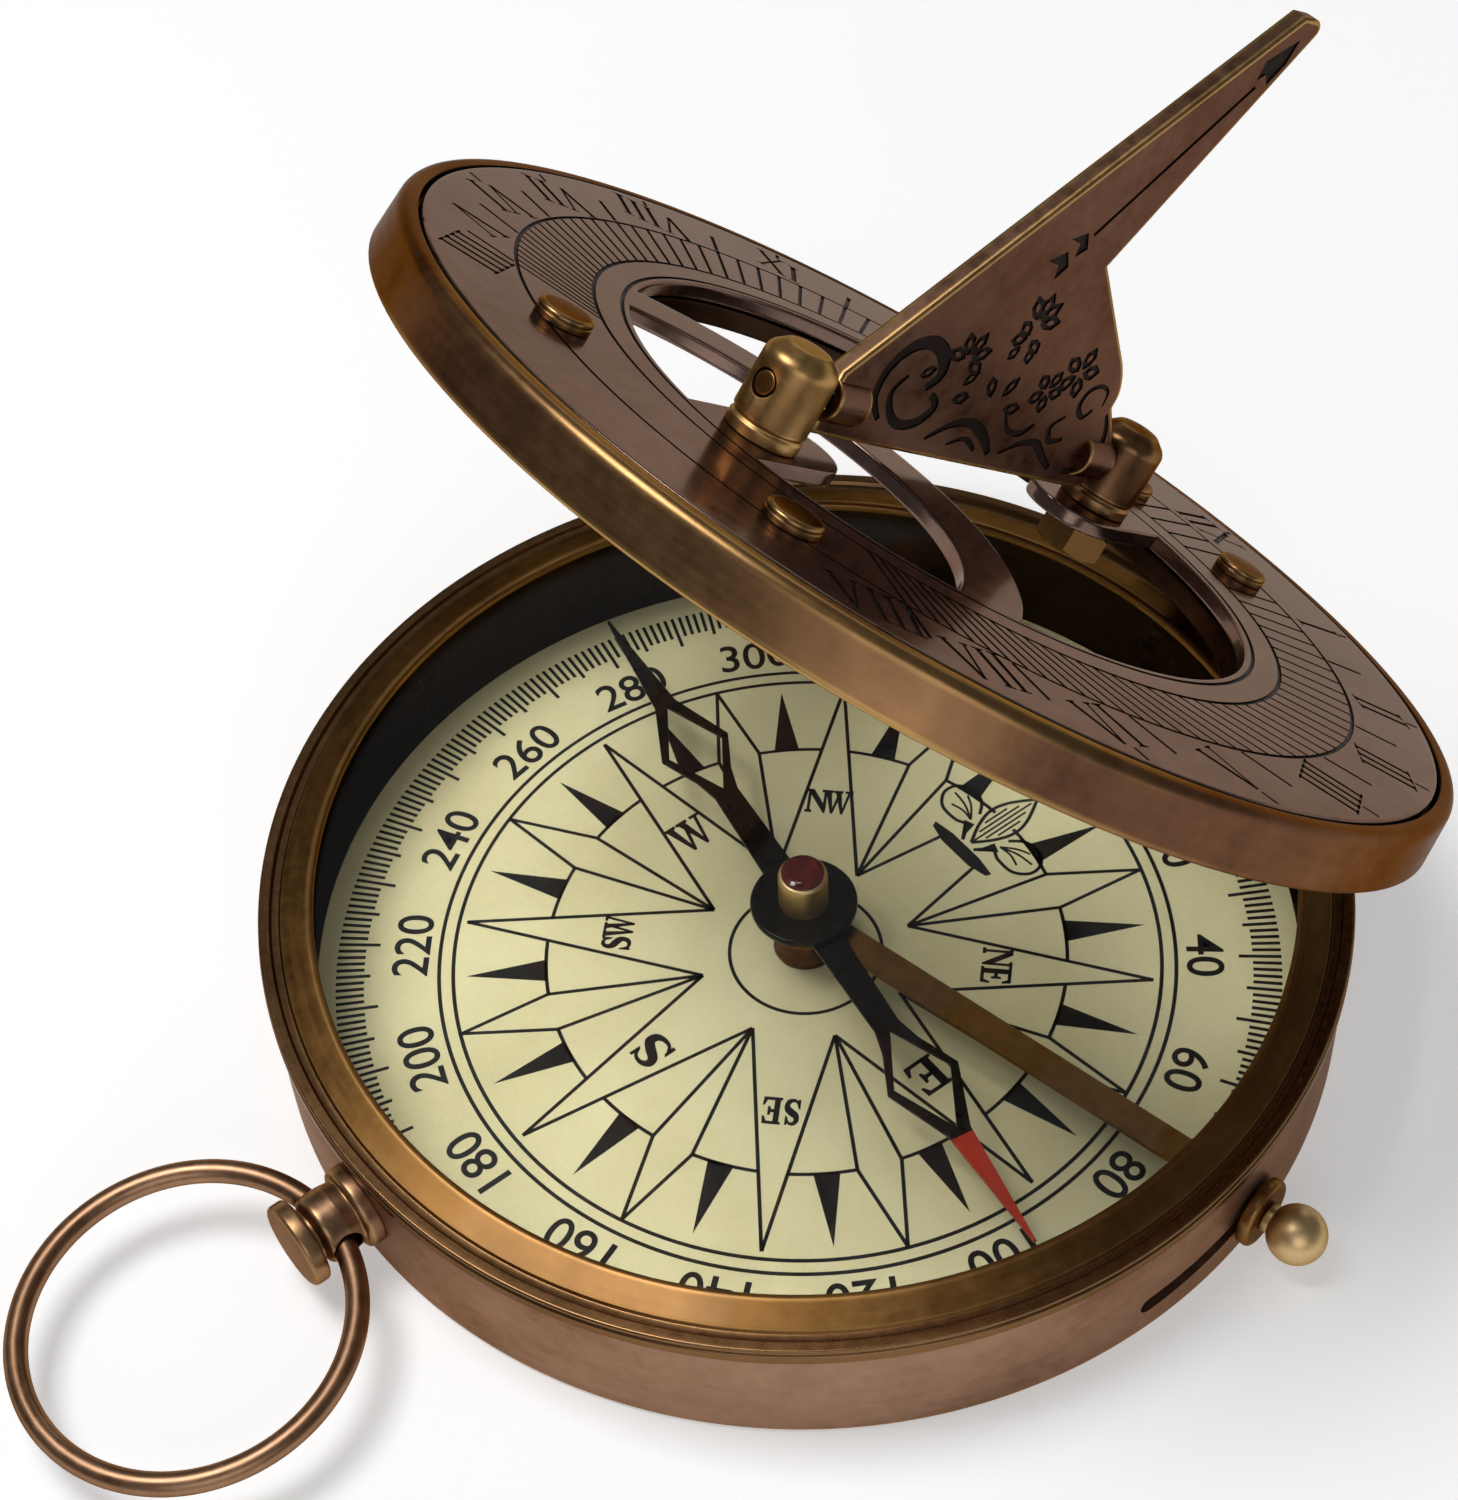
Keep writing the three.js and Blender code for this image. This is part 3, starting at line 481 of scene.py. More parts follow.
def carved(mesh, cutters, operation="DIFFERENCE"):
    """mesh with the cutter meshes taken away (or joined), all in one frame."""
    body = placed("carving", mesh)
    tools = [placed("cutter", cutter) for cutter in cutters]
    for tool in tools:
        modifier = body.modifiers.new("cut", "BOOLEAN")
        modifier.operation = operation
        modifier.solver = "EXACT"
        modifier.object = tool
    result = evaluated(body)
    for used in [body, *tools]:
        bpy.data.objects.remove(used)
    return result


def round_edges(piece, width, angle, segments):
    """Bevels the edges that are sharper than the angle."""
    modifier = piece.modifiers.new("round", "BEVEL")
    modifier.width = width * MM
    modifier.segments = segments
    modifier.limit_method = "ANGLE"
    modifier.angle_limit = radians(angle)


def bevelled(mesh, width, angle=40, segments=3):
    body = placed("bevelling", mesh)
    round_edges(body, width, angle, segments)
    result = evaluated(body)
    bpy.data.objects.remove(body)
    return result


def moved(mesh, matrix):
    mesh.transform(matrix)
    if matrix.determinant() < 0:
        mesh.flip_normals()
    return mesh


def box_mesh(x0, x1, y0, y1, z0, z1):
    bm = bmesh.new()
    bmesh.ops.create_cube(bm, size=1)
    size = Matrix.Diagonal(((x1 - x0) * MM, (y1 - y0) * MM, (z1 - z0) * MM, 1))
    middle = shift((x0 + x1) / 2, (y0 + y1) / 2, (z0 + z1) / 2)
    return moved(mesh_from(bm, "box", outward=False), middle @ size)


def rod(radius, low, high, sides=48, edge=0):
    return lathe_mesh("rod", [(0, low), (radius, low, edge), (radius, high, edge), (0, high)], sides)


def merged(*meshes):
    bm = bmesh.new()
    for mesh in meshes:
        bm.from_mesh(mesh)
    return mesh_from(bm, "merged", outward=False)


def neighbours(items):
    """Each item with the next one, and the last with the first."""
    return zip(items, items[1:] + items[:1])


def area_of(points):
    return sum(a[0] * b[1] - b[0] * a[1] for a, b in neighbours(points)) / 2


def anticlockwise(outline):
    return outline if area_of(outline) > 0 else outline[::-1]


def fills(outlines):
    """Triangles over closed outlines, each with the numbers of the outlines that it lies in."""
    points, faces = [], []
    for outline in outlines:
        faces.append(list(range(len(points), len(points) + len(outline))))
        points += [Vector(point) for point in anticlockwise(outline)]
    places, _, triangles, _, _, inside = delaunay_2d_cdt(points, [], faces, 0, 1e-5)
    return places, triangles, inside


def loops_of(outlines, solid=bool):
    """Border lines of the region where solid(numbers) holds, each with the region on its left."""
    places, triangles, inside = fills(outlines)
    sides = set()
    for triangle, numbers in zip(triangles, inside):
        if solid(numbers):
            sides.update(neighbours(triangle))
    onward = {a: b for a, b in sides if (b, a) not in sides}
    loops = []
    while onward:
        start, here = onward.popitem()
        loop = [start]
        while here != start:
            loop.append(here)
            here = onward.pop(here)
        loops.append([tuple(places[i]) for i in loop])
    return loops


def leftward(loop, distance):
    """The loop moved to its left, into the region that it borders."""
    made = []
    count = len(loop)
    for i in range(count):
        a, b, c = Vector(loop[i - 1]), Vector(loop[i]), Vector(loop[(i + 1) % count])
        first = (b - a).normalized()
        second = (c - b).normalized()
        left = Vector((-first.y, first.x))
        inward = left + Vector((-second.y, second.x))
        inward = inward.normalized() if inward.length > 1e-6 else left
        made.append(tuple(b + inward * (distance / max(inward.dot(left), 0.35))))
    return made


def fill_face(bm, rims, z, marks, sink):
    """Fills the region within rims at a height, with the marks sunk into it. A mark is a pair: its
    outline, and the outline of an island in it or None."""
    outlines = list(rims)
    islands = {}
    for outer, island in marks:
        islands[len(outlines)] = len(outlines) + 1 if island else -1
        outlines += [outer, island] if island else [outer]
    places, triangles, inside = fills(outlines)
    corners = {}

    def corner(i, level):
        if (i, level) not in corners:
            x, y = places[i]
            corners[i, level] = bm.verts.new((x * MM, y * MM, (z - sink * level) * MM))
        return corners[i, level]

    levels = {}
    for triangle, numbers in zip(triangles, inside):
        if sum(1 for n in numbers if n < len(rims)) % 2 == 0:
            continue
        level = 1 if any(n in islands and islands[n] not in numbers for n in numbers) else 0
        face = bm.faces.new([corner(i, level) for i in triangle])
        face.material_index = level
        for side in neighbours(triangle):
            levels[side] = level
    for (a, b), level in levels.items():
        if level == 1 and levels.get((b, a)) == 0:
            wall = bm.faces.new([corner(a, 1), corner(b, 1), corner(b, 0), corner(a, 0)])
            wall.material_index = 1


SMALL_HOLE = 12
MERGE = 0.0008


def slab(loops, low, high, fillet, marks=(), depth=0.0, both=False, steps=3, guard=0.15, wall=0.0):
    """A flat solid over the region within loops, with rounded edges. Marks are sunk into its upper
    face, or into both. Small holes keep sharp edges. wall is how worn the middle of its edge is."""
    bm = bmesh.new()
    edge = bm.verts.layers.float.new("edge")
    upper, lower = [], []
    for loop in loops:
        levels = [(0, low, 0), (0, high, 0)]
        if abs(area_of(loop)) > SMALL_HOLE or area_of(loop) > 0:
            levels = [(fillet + guard, low, 0)]
            for k in range(steps + 1):
                angle = pi / 2 * k / steps
                levels.append((fillet * (1 - sin(angle)), low + fillet * (1 - cos(angle)), 1))
            if high - low > 2 * fillet + 3 * guard:
                levels.append((0, low + fillet + guard, wall))
            levels += [(inset, low + high - z, mark) for inset, z, mark in levels[::-1]]
        rows = [row_of(bm, leftward(loop, inset), z, edge, mark) for inset, z, mark in levels]
        for a, b in zip(rows, rows[1:]):
            bridge(bm, a, b)
        lower.append(leftward(loop, levels[0][0]))
        upper.append(leftward(loop, levels[-1][0]))
    fill_face(bm, upper, high, marks, depth)
    fill_face(bm, lower, low, marks if both else (), -depth)
    bmesh.ops.remove_doubles(bm, verts=bm.verts, dist=MERGE * MM)
    return mesh_from(bm, "slab")


def arc(radius, start, end, steps, centre=(0, 0)):
    """Points on an arc, with angles in degrees anticlockwise from east."""
    made = []
    for k in range(steps + 1):
        angle = radians(start + (end - start) * k / steps)
        made.append((centre[0] + radius * cos(angle), centre[1] + radius * sin(angle)))
    return made


def stroke(a, b, width):
    """Outline of a straight line of that width from a to b."""
    start, end = Vector(a), Vector(b)
    across = (end - start).normalized().orthogonal() * (width / 2)
    return [tuple(start + across), tuple(start - across), tuple(end - across), tuple(end + across)]


def ribbon(points, widths):
    """Outline of a bent line, with a width at each point."""
    left, right = [], []
    vectors = [Vector(p) for p in points]
    for i, here in enumerate(vectors):
        ahead = vectors[min(i + 1, len(vectors) - 1)]
        behind = vectors[max(i - 1, 0)]
        across = (ahead - behind).normalized().orthogonal() * (widths[i] / 2)
        left.append(tuple(here + across))
        right.append(tuple(here - across))
    return left + right[::-1]


def bent(points, steps=6):
    """A smooth line through the points."""
    vectors = [Vector(p) for p in points]
    made = []
    for i in range(len(vectors) - 1):
        a = vectors[max(i - 1, 0)]
        b, c = vectors[i], vectors[i + 1]
        d = vectors[min(i + 2, len(vectors) - 1)]
        for k in range(steps):
            t = k / steps
            made.append(tuple(0.5 * ((2 * b) + (c - a) * t + (2 * a - 5 * b + 4 * c - d) * t * t
                                     + (3 * b - a - 3 * c + d) * t ** 3)))
    made.append(tuple(vectors[-1]))
    return made


# Case

CASE_RADIUS = 39.8
CASE_HEIGHT = 9.8
CASE_BORE = 38.4
CASE_FLOOR = 0.8
SEAT_RADIUS = 38.3
SEAT_BORE = 37
SEAT_LOW = 1.2
SEAT_TOP = 10.5
CARD_LOW = 0.85
CARD_TOP = 1.15
CARD_BORE = 2.4
GLASS_LOW = 10.55
GLASS_TOP = 11.1
BEZEL_BORE = 35.85
BEZEL_OUTER = 40
BEZEL_LOW = 9.85
SLOT_HALF = 0.85
LOCK_TURN = 15
LOCK_TRAVEL = 0.65
SHANK = 1.2
FINE = 256


def slot_cutter(inner, outer, half):
    """The lock's slot: a band with round ends that drops as it runs clockwise."""
    outline = []
    for sign, share in ((1, 0), (-1, 1)):
        middle = LOCK_ANGLE - LOCK_TURN * share
        height = STEM_Z - LOCK_TRAVEL * share
        for k in range(9):
            angle = pi * k / 8
            swing = degrees(sign * sin(angle) * half / CASE_RADIUS)
            outline.append((middle + swing, height + sign * cos(angle) * half))
    dense = []
    for (angle, z), (next_angle, next_z) in neighbours(outline):
        parts = 24 if abs(next_angle - angle) > 5 else 1
        for k in range(parts):
            dense.append((angle + (next_angle - angle) * k / parts, z + (next_z - z) * k / parts))
    bm = bmesh.new()
    rings = [[bm.verts.new((radius * MM * cos(radians(a)), radius * MM * sin(radians(a)), z * MM))
              for a, z in dense] for radius in (inner, outer)]
    bridge(bm, *rings)
    caps = [bm.faces.new(ring) for ring in rings]
    bmesh.ops.triangulate(bm, faces=caps)
    return mesh_from(bm, "slot")


def make_case():
    cup = lathe_mesh("case", [
        (0, 0), (CASE_RADIUS, 0, 0.5), (CASE_RADIUS, CASE_HEIGHT, 0.12), (CASE_BORE, CASE_HEIGHT, 0.12),
        (CASE_BORE, CASE_FLOOR, 0.2), (0, CASE_FLOOR)], FINE)
    hole = moved(rod(SHANK + 0.1, CASE_BORE - 1, CASE_RADIUS + 1), PENDANT)
    cup = carved(cup, [slot_cutter(CASE_BORE - 1, CASE_RADIUS + 1, SLOT_HALF), hole])
    add("case_wall", cup, patina, ROW, "base", "patina_brass", "case_cup")

    # Painted shade: the seat ring is near-black, as the case's inner wall lies in shade.
    ring = washer(SEAT_BORE, SEAT_RADIUS, SEAT_LOW, SEAT_TOP, (0, 0, 0, 0), FINE)
    ring = carved(ring, [slot_cutter(SEAT_BORE - 1, SEAT_RADIUS + 1, SHANK)])
    add("seat_ring", ring, inner_dark, ROW, "base", "dark_brass", "glass_seat_ring")

    bezel = lathe_mesh("bezel", [
        (BEZEL_BORE, 11.15, 0.1), (37.7, 11.15), (37.7, GLASS_LOW), (38.45, GLASS_LOW),
        (38.45, BEZEL_LOW), (BEZEL_OUTER, BEZEL_LOW, 0.12), (BEZEL_OUTER, 10.64, 0.2),
        (39.74, 10.8), (39.74, 10.86),
        (39.92, 10.96, 0.04), (39.92, 11.3, 0.18), (39.1, 11.3, 0.08), (38.95, 11.0, 0.1),
        (38.42, 11.0, 0.1), (38.3, 11.2, 0.12), (36.25, 11.86, 0.5), (BEZEL_BORE, 11.8, 0.2)],
        FINE, ring=True)
    # Painted shade: the bezel's faces outside the case's bore get band, the darker copy of its brass.
    for face in bezel.polygons:
        if radius_of(face.center) > CASE_BORE:
            face.material_index = 1
    add("bezel", bezel, [warm, band], ROW, "base", "warm_brass", "bezel_ring")

    pane = lathe_mesh("pane", [(0, GLASS_LOW), (37.6, GLASS_LOW, 0.08), (37.6, GLASS_TOP, 0.12),
                               (0, GLASS_TOP)], FINE)
    add("glass_disc", pane, glass, ROW, "base", "glass", "crystal_glass")

    disc = washer(CARD_BORE, SEAT_RADIUS, CARD_LOW, CARD_TOP, (0, 0, 0.04, 0.04), FINE)
    add("card_disc", disc, card, ROW, "base", "printed_card", "dial_card")


# Print on the card: thin closed shapes that stand a little above it, drawn in units of 0.4 mm

UNIT = 0.4
INK_RISE = 0.012
PRINT_SIZE = 0.993
LINE_WIDTH = 0.72
CURVE_WIDTH = 0.7
HALF_SECTOR = 22.5
VALLEY = 20.2
TIP = 65.7
KITE_TIP = 67
CORNER = 49.6
CORNER_ANGLE = 4.8
ARC_GAP = 3.1
WEDGE_BASE = 49.3
WEDGE_TIP = 64.7
WEDGE_HALF = 2.5
LILY_FOOT = 38.2
LILY_ANGLE = 7.3
WORD_RADIUS = 36.3
BOLDER = 0.05
DEGREE_START = {"ten": 81.6, "five": 83, "one": 84.2}
DEGREE_END = 89.6
FIGURE_RADIUS = 74.9
FIGURE_SIZE = 3.95
prints = bmesh.new()


def compass_point(radius, azimuth, across=0.0):
    """A point in mm at a radius in units and an azimuth clockwise from north, shifted across it."""
    angle = radians(90 - azimuth)
    x = radius * cos(angle) + across * sin(angle)
    y = radius * sin(angle) - across * cos(angle)
    return (x * UNIT, y * UNIT)


def in_units(points):
    return [(x * UNIT, y * UNIT) for x, y in points]


def print_shape(points):
    lower, upper = [row_of(prints, anticlockwise(points), CARD_TOP + rise)
                    for rise in (-INK_RISE, INK_RISE)]
    prints.faces.new(upper)
    prints.faces.new(lower[::-1])
    bridge(prints, lower, upper)


def print_band(radius, width):
    """A printed circle, as quads between two circles."""
    inner, outer = circle((radius - width / 2) * UNIT, 180), circle((radius + width / 2) * UNIT, 180)
    rims = [row_of(prints, points, CARD_TOP + side * INK_RISE)
            for points, side in ((inner, -1), (outer, -1), (outer, 1), (inner, 1))]
    for low, high in neighbours(rims):
        bridge(prints, low, high)


def print_line(a, b, width=LINE_WIDTH):
    print_shape(stroke(a, b, width * UNIT))


def print_text(text, azimuth):
    """Sans-serif figures with their tops outward."""
    curve = bpy.data.curves.new("figures", "FONT")
    curve.body = text
    curve.align_x = "CENTER"
    curve.align_y = "CENTER"
    curve.size = FIGURE_SIZE * MM
    curve.extrude = INK_RISE * MM
    curve.offset = 0.035 * MM
    curve.resolution_u = 6
    holder = placed("figures", curve)
    mesh = evaluated(holder)
    bpy.data.objects.remove(holder)
    x, y = compass_point(FIGURE_RADIUS, azimuth)
    mesh.transform(shift(x, y, CARD_TOP) @ turn(-azimuth, "Z"))
    prints.from_mesh(mesh)


# Bold serif capitals as outlines in a box 1 high, about x 0

LETTERS = {
    "N": [[(-0.5, 0), (-0.24, 0), (-0.24, 0.07), (-0.33, 0.09), (-0.33, 0.93), (-0.41, 0.93),
           (-0.41, 0.09), (-0.5, 0.07)],
          [(-0.52, 1), (-0.22, 1), (0.37, 0.25), (0.37, 0), (0.33, 0), (-0.39, 0.91), (-0.52, 0.94)],
          [(0.2, 1), (0.2, 0.94), (0.3, 0.92), (0.3, 0.1), (0.38, 0.1), (0.38, 0.92), (0.48, 0.94),
           (0.48, 1)]],
    "E": [[(-0.42, 0), (-0.05, 0), (-0.05, 0.06), (-0.12, 0.07), (-0.12, 0.93), (-0.05, 0.94),
           (-0.05, 1), (-0.42, 1), (-0.42, 0.94), (-0.33, 0.92), (-0.33, 0.08), (-0.42, 0.06)],
          [(-0.2, 0), (0.38, 0), (0.42, 0.28), (0.37, 0.28), (0.26, 0.08), (-0.2, 0.07)],
          [(-0.2, 0.93), (0.24, 0.92), (0.34, 0.74), (0.39, 0.74), (0.36, 1), (-0.2, 1)],
          [(-0.2, 0.47), (0.06, 0.46), (0.11, 0.36), (0.16, 0.36), (0.16, 0.66), (0.11, 0.66),
           (0.06, 0.55), (-0.2, 0.54)]],
    "W": [[(-0.62, 1), (-0.62, 0.94), (-0.56, 0.92), (-0.28, 0), (-0.22, 0), (-0.36, 0.92),
           (-0.27, 0.94), (-0.27, 1)],
          [(-0.28, 0), (-0.22, 0), (0.02, 0.72), (-0.03, 0.85)],
          [(-0.2, 1), (-0.2, 0.94), (-0.12, 0.92), (0.18, 0), (0.24, 0), (0.08, 0.92), (0.16, 0.94),
           (0.16, 1)],
          [(0.18, 0), (0.24, 0), (0.5, 0.92), (0.43, 0.92)],
          [(0.3, 1), (0.3, 0.94), (0.62, 0.94), (0.62, 1)]],
}
S_SPINE = [(0.24, 0.76), (0.12, 0.92), (-0.08, 0.94), (-0.22, 0.8), (-0.16, 0.62), (0.06, 0.5),
           (0.24, 0.36), (0.22, 0.15), (0.04, 0.05), (-0.16, 0.08), (-0.29, 0.26)]
S_WIDTHS = [0.04, 0.06, 0.1, 0.17, 0.22, 0.24, 0.22, 0.17, 0.1, 0.06, 0.04, 0.04]


def letter_s():
    """A spine that swells in its middle, and two serifs."""
    steps = 4
    line = bent(S_SPINE, steps)
    widths = []
    for i in range(len(line)):
        low, high = S_WIDTHS[i // steps], S_WIDTHS[i // steps + 1]
        widths.append(low + (high - low) * (i % steps) / steps)
    return [ribbon(line, widths),
            [(0.22, 0.98), (0.2, 0.74), (0.27, 0.68), (0.27, 0.98)],
            [(-0.31, 0.02), (-0.31, 0.34), (-0.26, 0.3), (-0.24, 0.02)]]


def print_letters(word, size, azimuth, stretch):
    step = 0.94 if len(word) > 1 else 0
    for i, letter in enumerate(word):
        start = (i - (len(word) - 1) / 2) * step
        for outline in LETTERS[letter]:
            points = [compass_point(WORD_RADIUS + (y - 0.5) * size, azimuth,
                                    (start + x) * stretch * size) for x, y in outline]
            print_shape(leftward(anticlockwise(points), -BOLDER))


def print_rose():
    print_band(14.5, 0.7)
    print_band(67.2, 0.75)
    print_band(69.9, 0.75)
    for k in range(8):
        main = 2 * HALF_SECTOR * k
        between = main + HALF_SECTOR
        valley = compass_point(VALLEY, between)
        before = (LILY_FOOT, LILY_ANGLE) if k == 0 else (TIP, main)
        after = (LILY_FOOT, -LILY_ANGLE) if k == 7 else (TIP, between + HALF_SECTOR)
        for tip in (before, after):
            print_line(valley, compass_point(*tip))
        kite_tip = compass_point(KITE_TIP, between)
        for sign in (-1, 1):
            start = between + sign * CORNER_ANGLE
            corner = compass_point(CORNER, start)
            print_line(valley, corner)
            print_line(corner, kite_tip)
            end = between + sign * (HALF_SECTOR - ARC_GAP)
            arc_points = [compass_point(CORNER - 0.1, start + (end - start) * i / 6) for i in range(7)]
            for a, b in zip(arc_points, arc_points[1:]):
                print_line(a, b)
            wedge = between + sign * HALF_SECTOR / 2
            base = [compass_point(WEDGE_BASE, wedge, across) for across in (-WEDGE_HALF, WEDGE_HALF)]
            print_shape([*base, compass_point(WEDGE_TIP, wedge)])


def print_scale():
    for degree in range(360):
        kind = "ten" if degree % 10 == 0 else "five" if degree % 5 == 0 else "one"
        start = compass_point(DEGREE_START[kind], degree)
        print_line(start, compass_point(DEGREE_END, degree), CURVE_WIDTH)
    for degree in range(0, 360, 20):
        print_text(str(degree), degree)


def print_lily():
    """Fleur-de-lis on the north point."""
    print_shape(in_units([(-8, 37.9), (-4, 36.9), (4, 36.9), (8, 37.9), (8.4, 39), (4, 39.7),
                          (-4, 39.7), (-8.4, 39)]))

    def curve(points, width=CURVE_WIDTH):
        line = bent(in_units(points))
        print_shape(ribbon(line, [width * UNIT] * len(line)))

    for sign in (-1, 1):
        curve([(0, 41), (sign * 2.4, 45), (sign * 3.6, 49), (sign * 2.8, 53), (0, 58)])
        curve([(sign * 1.6, 40.2), (sign * 4, 43), (sign * 6.5, 42.3), (sign * 10.5, 42.5),
               (sign * 13, 45), (sign * 12.6, 48), (sign * 9.8, 49.6), (sign * 6.6, 49.2),
               (sign * 4.3, 46.8)])
        for x, y in ((9.4, 48), (11.6, 46.6), (9.8, 44.2)):
            middle = (sign * (x + 4.4) / 2, (y + 44.8) / 2 + 0.4)
            curve([(sign * 4.4, 44.6), middle, (sign * x, y)], 0.45)
        print_shape(in_units([(sign * 1.9, 40), (sign * 5.2, 43.6), (sign * 3.0, 44.4)]))
    for x in (-2, -1, 0, 1, 2):
        reach = 7.4 - abs(x) * 2.3
        print_line(*in_units([(x, 49 - reach), (x, 49 + reach)]), 0.42)


def make_print():
    LETTERS["S"] = letter_s()
    print_rose()
    print_scale()
    print_lily()
    for word, size, azimuth, stretch in (
            ("E", 7.2, 90, 1), ("S", 7.2, 180, 1.15), ("W", 7.2, 270, 0.9), ("NE", 5.6, 45, 0.76),
            ("SE", 5.6, 135, 0.72), ("SW", 5.6, 225, 0.74), ("NW", 5.6, 315, 0.78)):
        print_letters(word, size, azimuth, stretch)
    mesh = moved(mesh_from(prints, "print"), Matrix.Diagonal((PRINT_SIZE, PRINT_SIZE, 1, 1)))
    as_object("card_print", mesh, ink, shift(0.5, -0.4, 0) @ turn(-0.65, "Z"), "base", "printed_card")


# Pendant and bail

def make_pendant():
    stem = lathe_mesh("stem", [
        (0, -0.3), (3.1, -0.3, 0.1), (3.1, 1.05, 0.35), (2.45, 1.05, 0.12),
        (2.6, 2.1, 0.5), (2.6, 3.7, 0.5), (1.9, 4.05, 0.15), (1.9, 4.45, 0.12), (3.2, 4.45, 0.3),
        (3.2, 5.75, 0.35), (0, 5.75)], steps=5)
    stem = moved(stem, PENDANT @ shift(0, 0, CASE_RADIUS))
    wall = rod(CASE_RADIUS + 0.05, -1, 11, FINE)
    hole = moved(rod(1.2, -5, 5), shift(0, -PIVOT_Y, PENDANT_Z) @ turn(90, "Y"))
    shank = moved(rod(SHANK, CASE_BORE, CASE_RADIUS + 0.6), PENDANT)
    stem = merged(carved(stem, [wall, hole]), shank)
    add("pendant", stem, bronze, ROW, "base", "patina_brass", "pendant_stem", axis=PENDANT)


def make_bail():
    wire = lathe_mesh("bail", circle(BAIL_WIRE, 24, (BAIL_RADIUS, 0)), 160, ring=True)
    smooth(wire)
    as_object("bail_wire", wire, bronze, BAIL, "bail", "warm_brass", "bail_ring")


# Lock

ARM_LOW = 4.8
ARM_TOP = 5.2
ARM_END = 36
ARM_HALF = 1.2
STEM_END = 42.05
KNOB_FACE = 41.05
KNOB_NECK = 1.1
BALL = 2.15


def make_lock():
    strip = box_mesh(2.6, ARM_END, -ARM_HALF, ARM_HALF, ARM_LOW, ARM_TOP)
    tab = box_mesh(ARM_END - 0.4, ARM_END, -ARM_HALF, ARM_HALF, 3.0, ARM_TOP)
    arm = carved(strip, [rod(3.2, ARM_LOW, ARM_TOP, 64), tab], "UNION")
    arm = carved(arm, [rod(1.7, 4, 6), moved(rod(0.6, ARM_END - 1, ARM_END + 1), STEM)])
    arm = bevelled(arm, 0.1)
    add("lever", arm, warm, LOCK, "lock", "warm_brass", "lock_arm")

    screw = moved(lathe_mesh("screw", [
        (0, 35.05), (0.72, 35.05, 0.12), (0.72, 35.55), (0.5, 35.55), (0.5, STEM_END),
        (0, STEM_END)], 48), STEM)
    add("lever_screw", screw, bright, LOCK, "lock", "bright_brass", "lock_stem", axis=STEM)

    collar = moved(washer(0.6, 2.6, 40, 41, (0, 0.25, 0.3, 0.1)), STEM)
    add("lever_collar", collar, warm, LOCK, "lock", "warm_brass", "lock_collar", axis=STEM)

    neck_angle = asin(KNOB_NECK / BALL)
    centre = KNOB_FACE + 0.55 + BALL * cos(neck_angle)
    ball = arc(BALL, degrees(neck_angle) - 90, 90, 32, (0, centre))
    knob = lathe_mesh("knob", [(0, KNOB_FACE), (KNOB_NECK, KNOB_FACE, 0.1), *ball])
    knob = carved(moved(knob, STEM), [moved(rod(0.55, 40, STEM_END + 0.05), STEM)])
    add("lever_knob", knob, cap_brass, LOCK, "lock", "bright_brass", "lock_knob", axis=STEM)


# Needle

NEEDLE_LOW = 5.75
NEEDLE_HIGH = 6.05
SPIKE_START = 22.7
SPIKE_END = 32.8
SPIKE_HALF = 0.9
TIP_HALF = 0.1
RED_START = 23.05
HUB_LOW = 6.1


def spike_half(reach):
    return SPIKE_HALF + (TIP_HALF - SPIKE_HALF) * (reach - SPIKE_START) / (SPIKE_END - SPIKE_START)


def needle_half(reach):
    """Upper border of one end of the needle, from the middle out to a given reach."""
    return [(0, 1.35), (4, 1.2), (12.4, 1.0), (14.4, 1.5), (17.6, 2.9), (SPIKE_START, SPIKE_HALF),
            (reach, spike_half(reach))]


def make_needle():
    east, west = needle_half(23.0), needle_half(SPIKE_END)
    outline = [(x, -y) for x, y in east] + east[:0:-1]
    outline += [(-x, y) for x, y in west] + [(-x, -y) for x, y in west[:0:-1]]
    windows = []
    for sign in (1, -1):
        windows.append([(sign * 12.9, 0), (sign * 14.6, 0.85), (sign * 17.5, 2.3), (sign * 22.3, 0),
                        (sign * 17.5, -2.3), (sign * 14.6, -0.85)])
    loops = loops_of([outline, *windows, circle(1.2, 48)], lambda numbers: numbers == [0])
    body = slab(loops, NEEDLE_LOW, NEEDLE_HIGH, 0.05, guard=0.03)
    add("needle_blade", body, steel, NEEDLE, "needle_set", "black_steel", "needle")
    start, end = (RED_START, spike_half(RED_START)), (SPIKE_END, spike_half(SPIKE_END))
    points = [start, (start[0], -start[1]), (end[0], -end[1]), end]
    tip = slab(loops_of([points]), NEEDLE_LOW, NEEDLE_HIGH, 0.04, guard=0.02)
    add("needle_tip", tip, red_paint, NEEDLE, "needle_set", "black_steel", "needle")

    hub = washer(1.9, 4, HUB_LOW, 6.7, (0, 0.15, 0.2, 0))
    add("hub_disc", hub, steel, NEEDLE, "needle_set", "black_steel", "needle_hub")
    cap = washer(1.1, 1.85, HUB_LOW, 9.9, (0, 0.1, 0.28, 0))
    add("cap_tube", cap, cap_brass, NEEDLE, "needle_set", "bright_brass", "needle_cap")
    stone = lathe_mesh("stone", [(0, 9.15), (0.7, 8.75), (1.05, 8.75), (1.05, 9.95), (1.6, 9.95, 0.08),
                                 (1.6, 10.12, 0.1), (1.15, 10.32, 0.3), (0, 10.36)], 64)
    add("cap_stone", stone, jewel, NEEDLE, "needle_set", "jewel", "needle_jewel")


# Lid. FOLD_ENDS gives, for each end of the gnomon's fold, its frame, where its boss ends, the middle of
# its post and the look of that post.

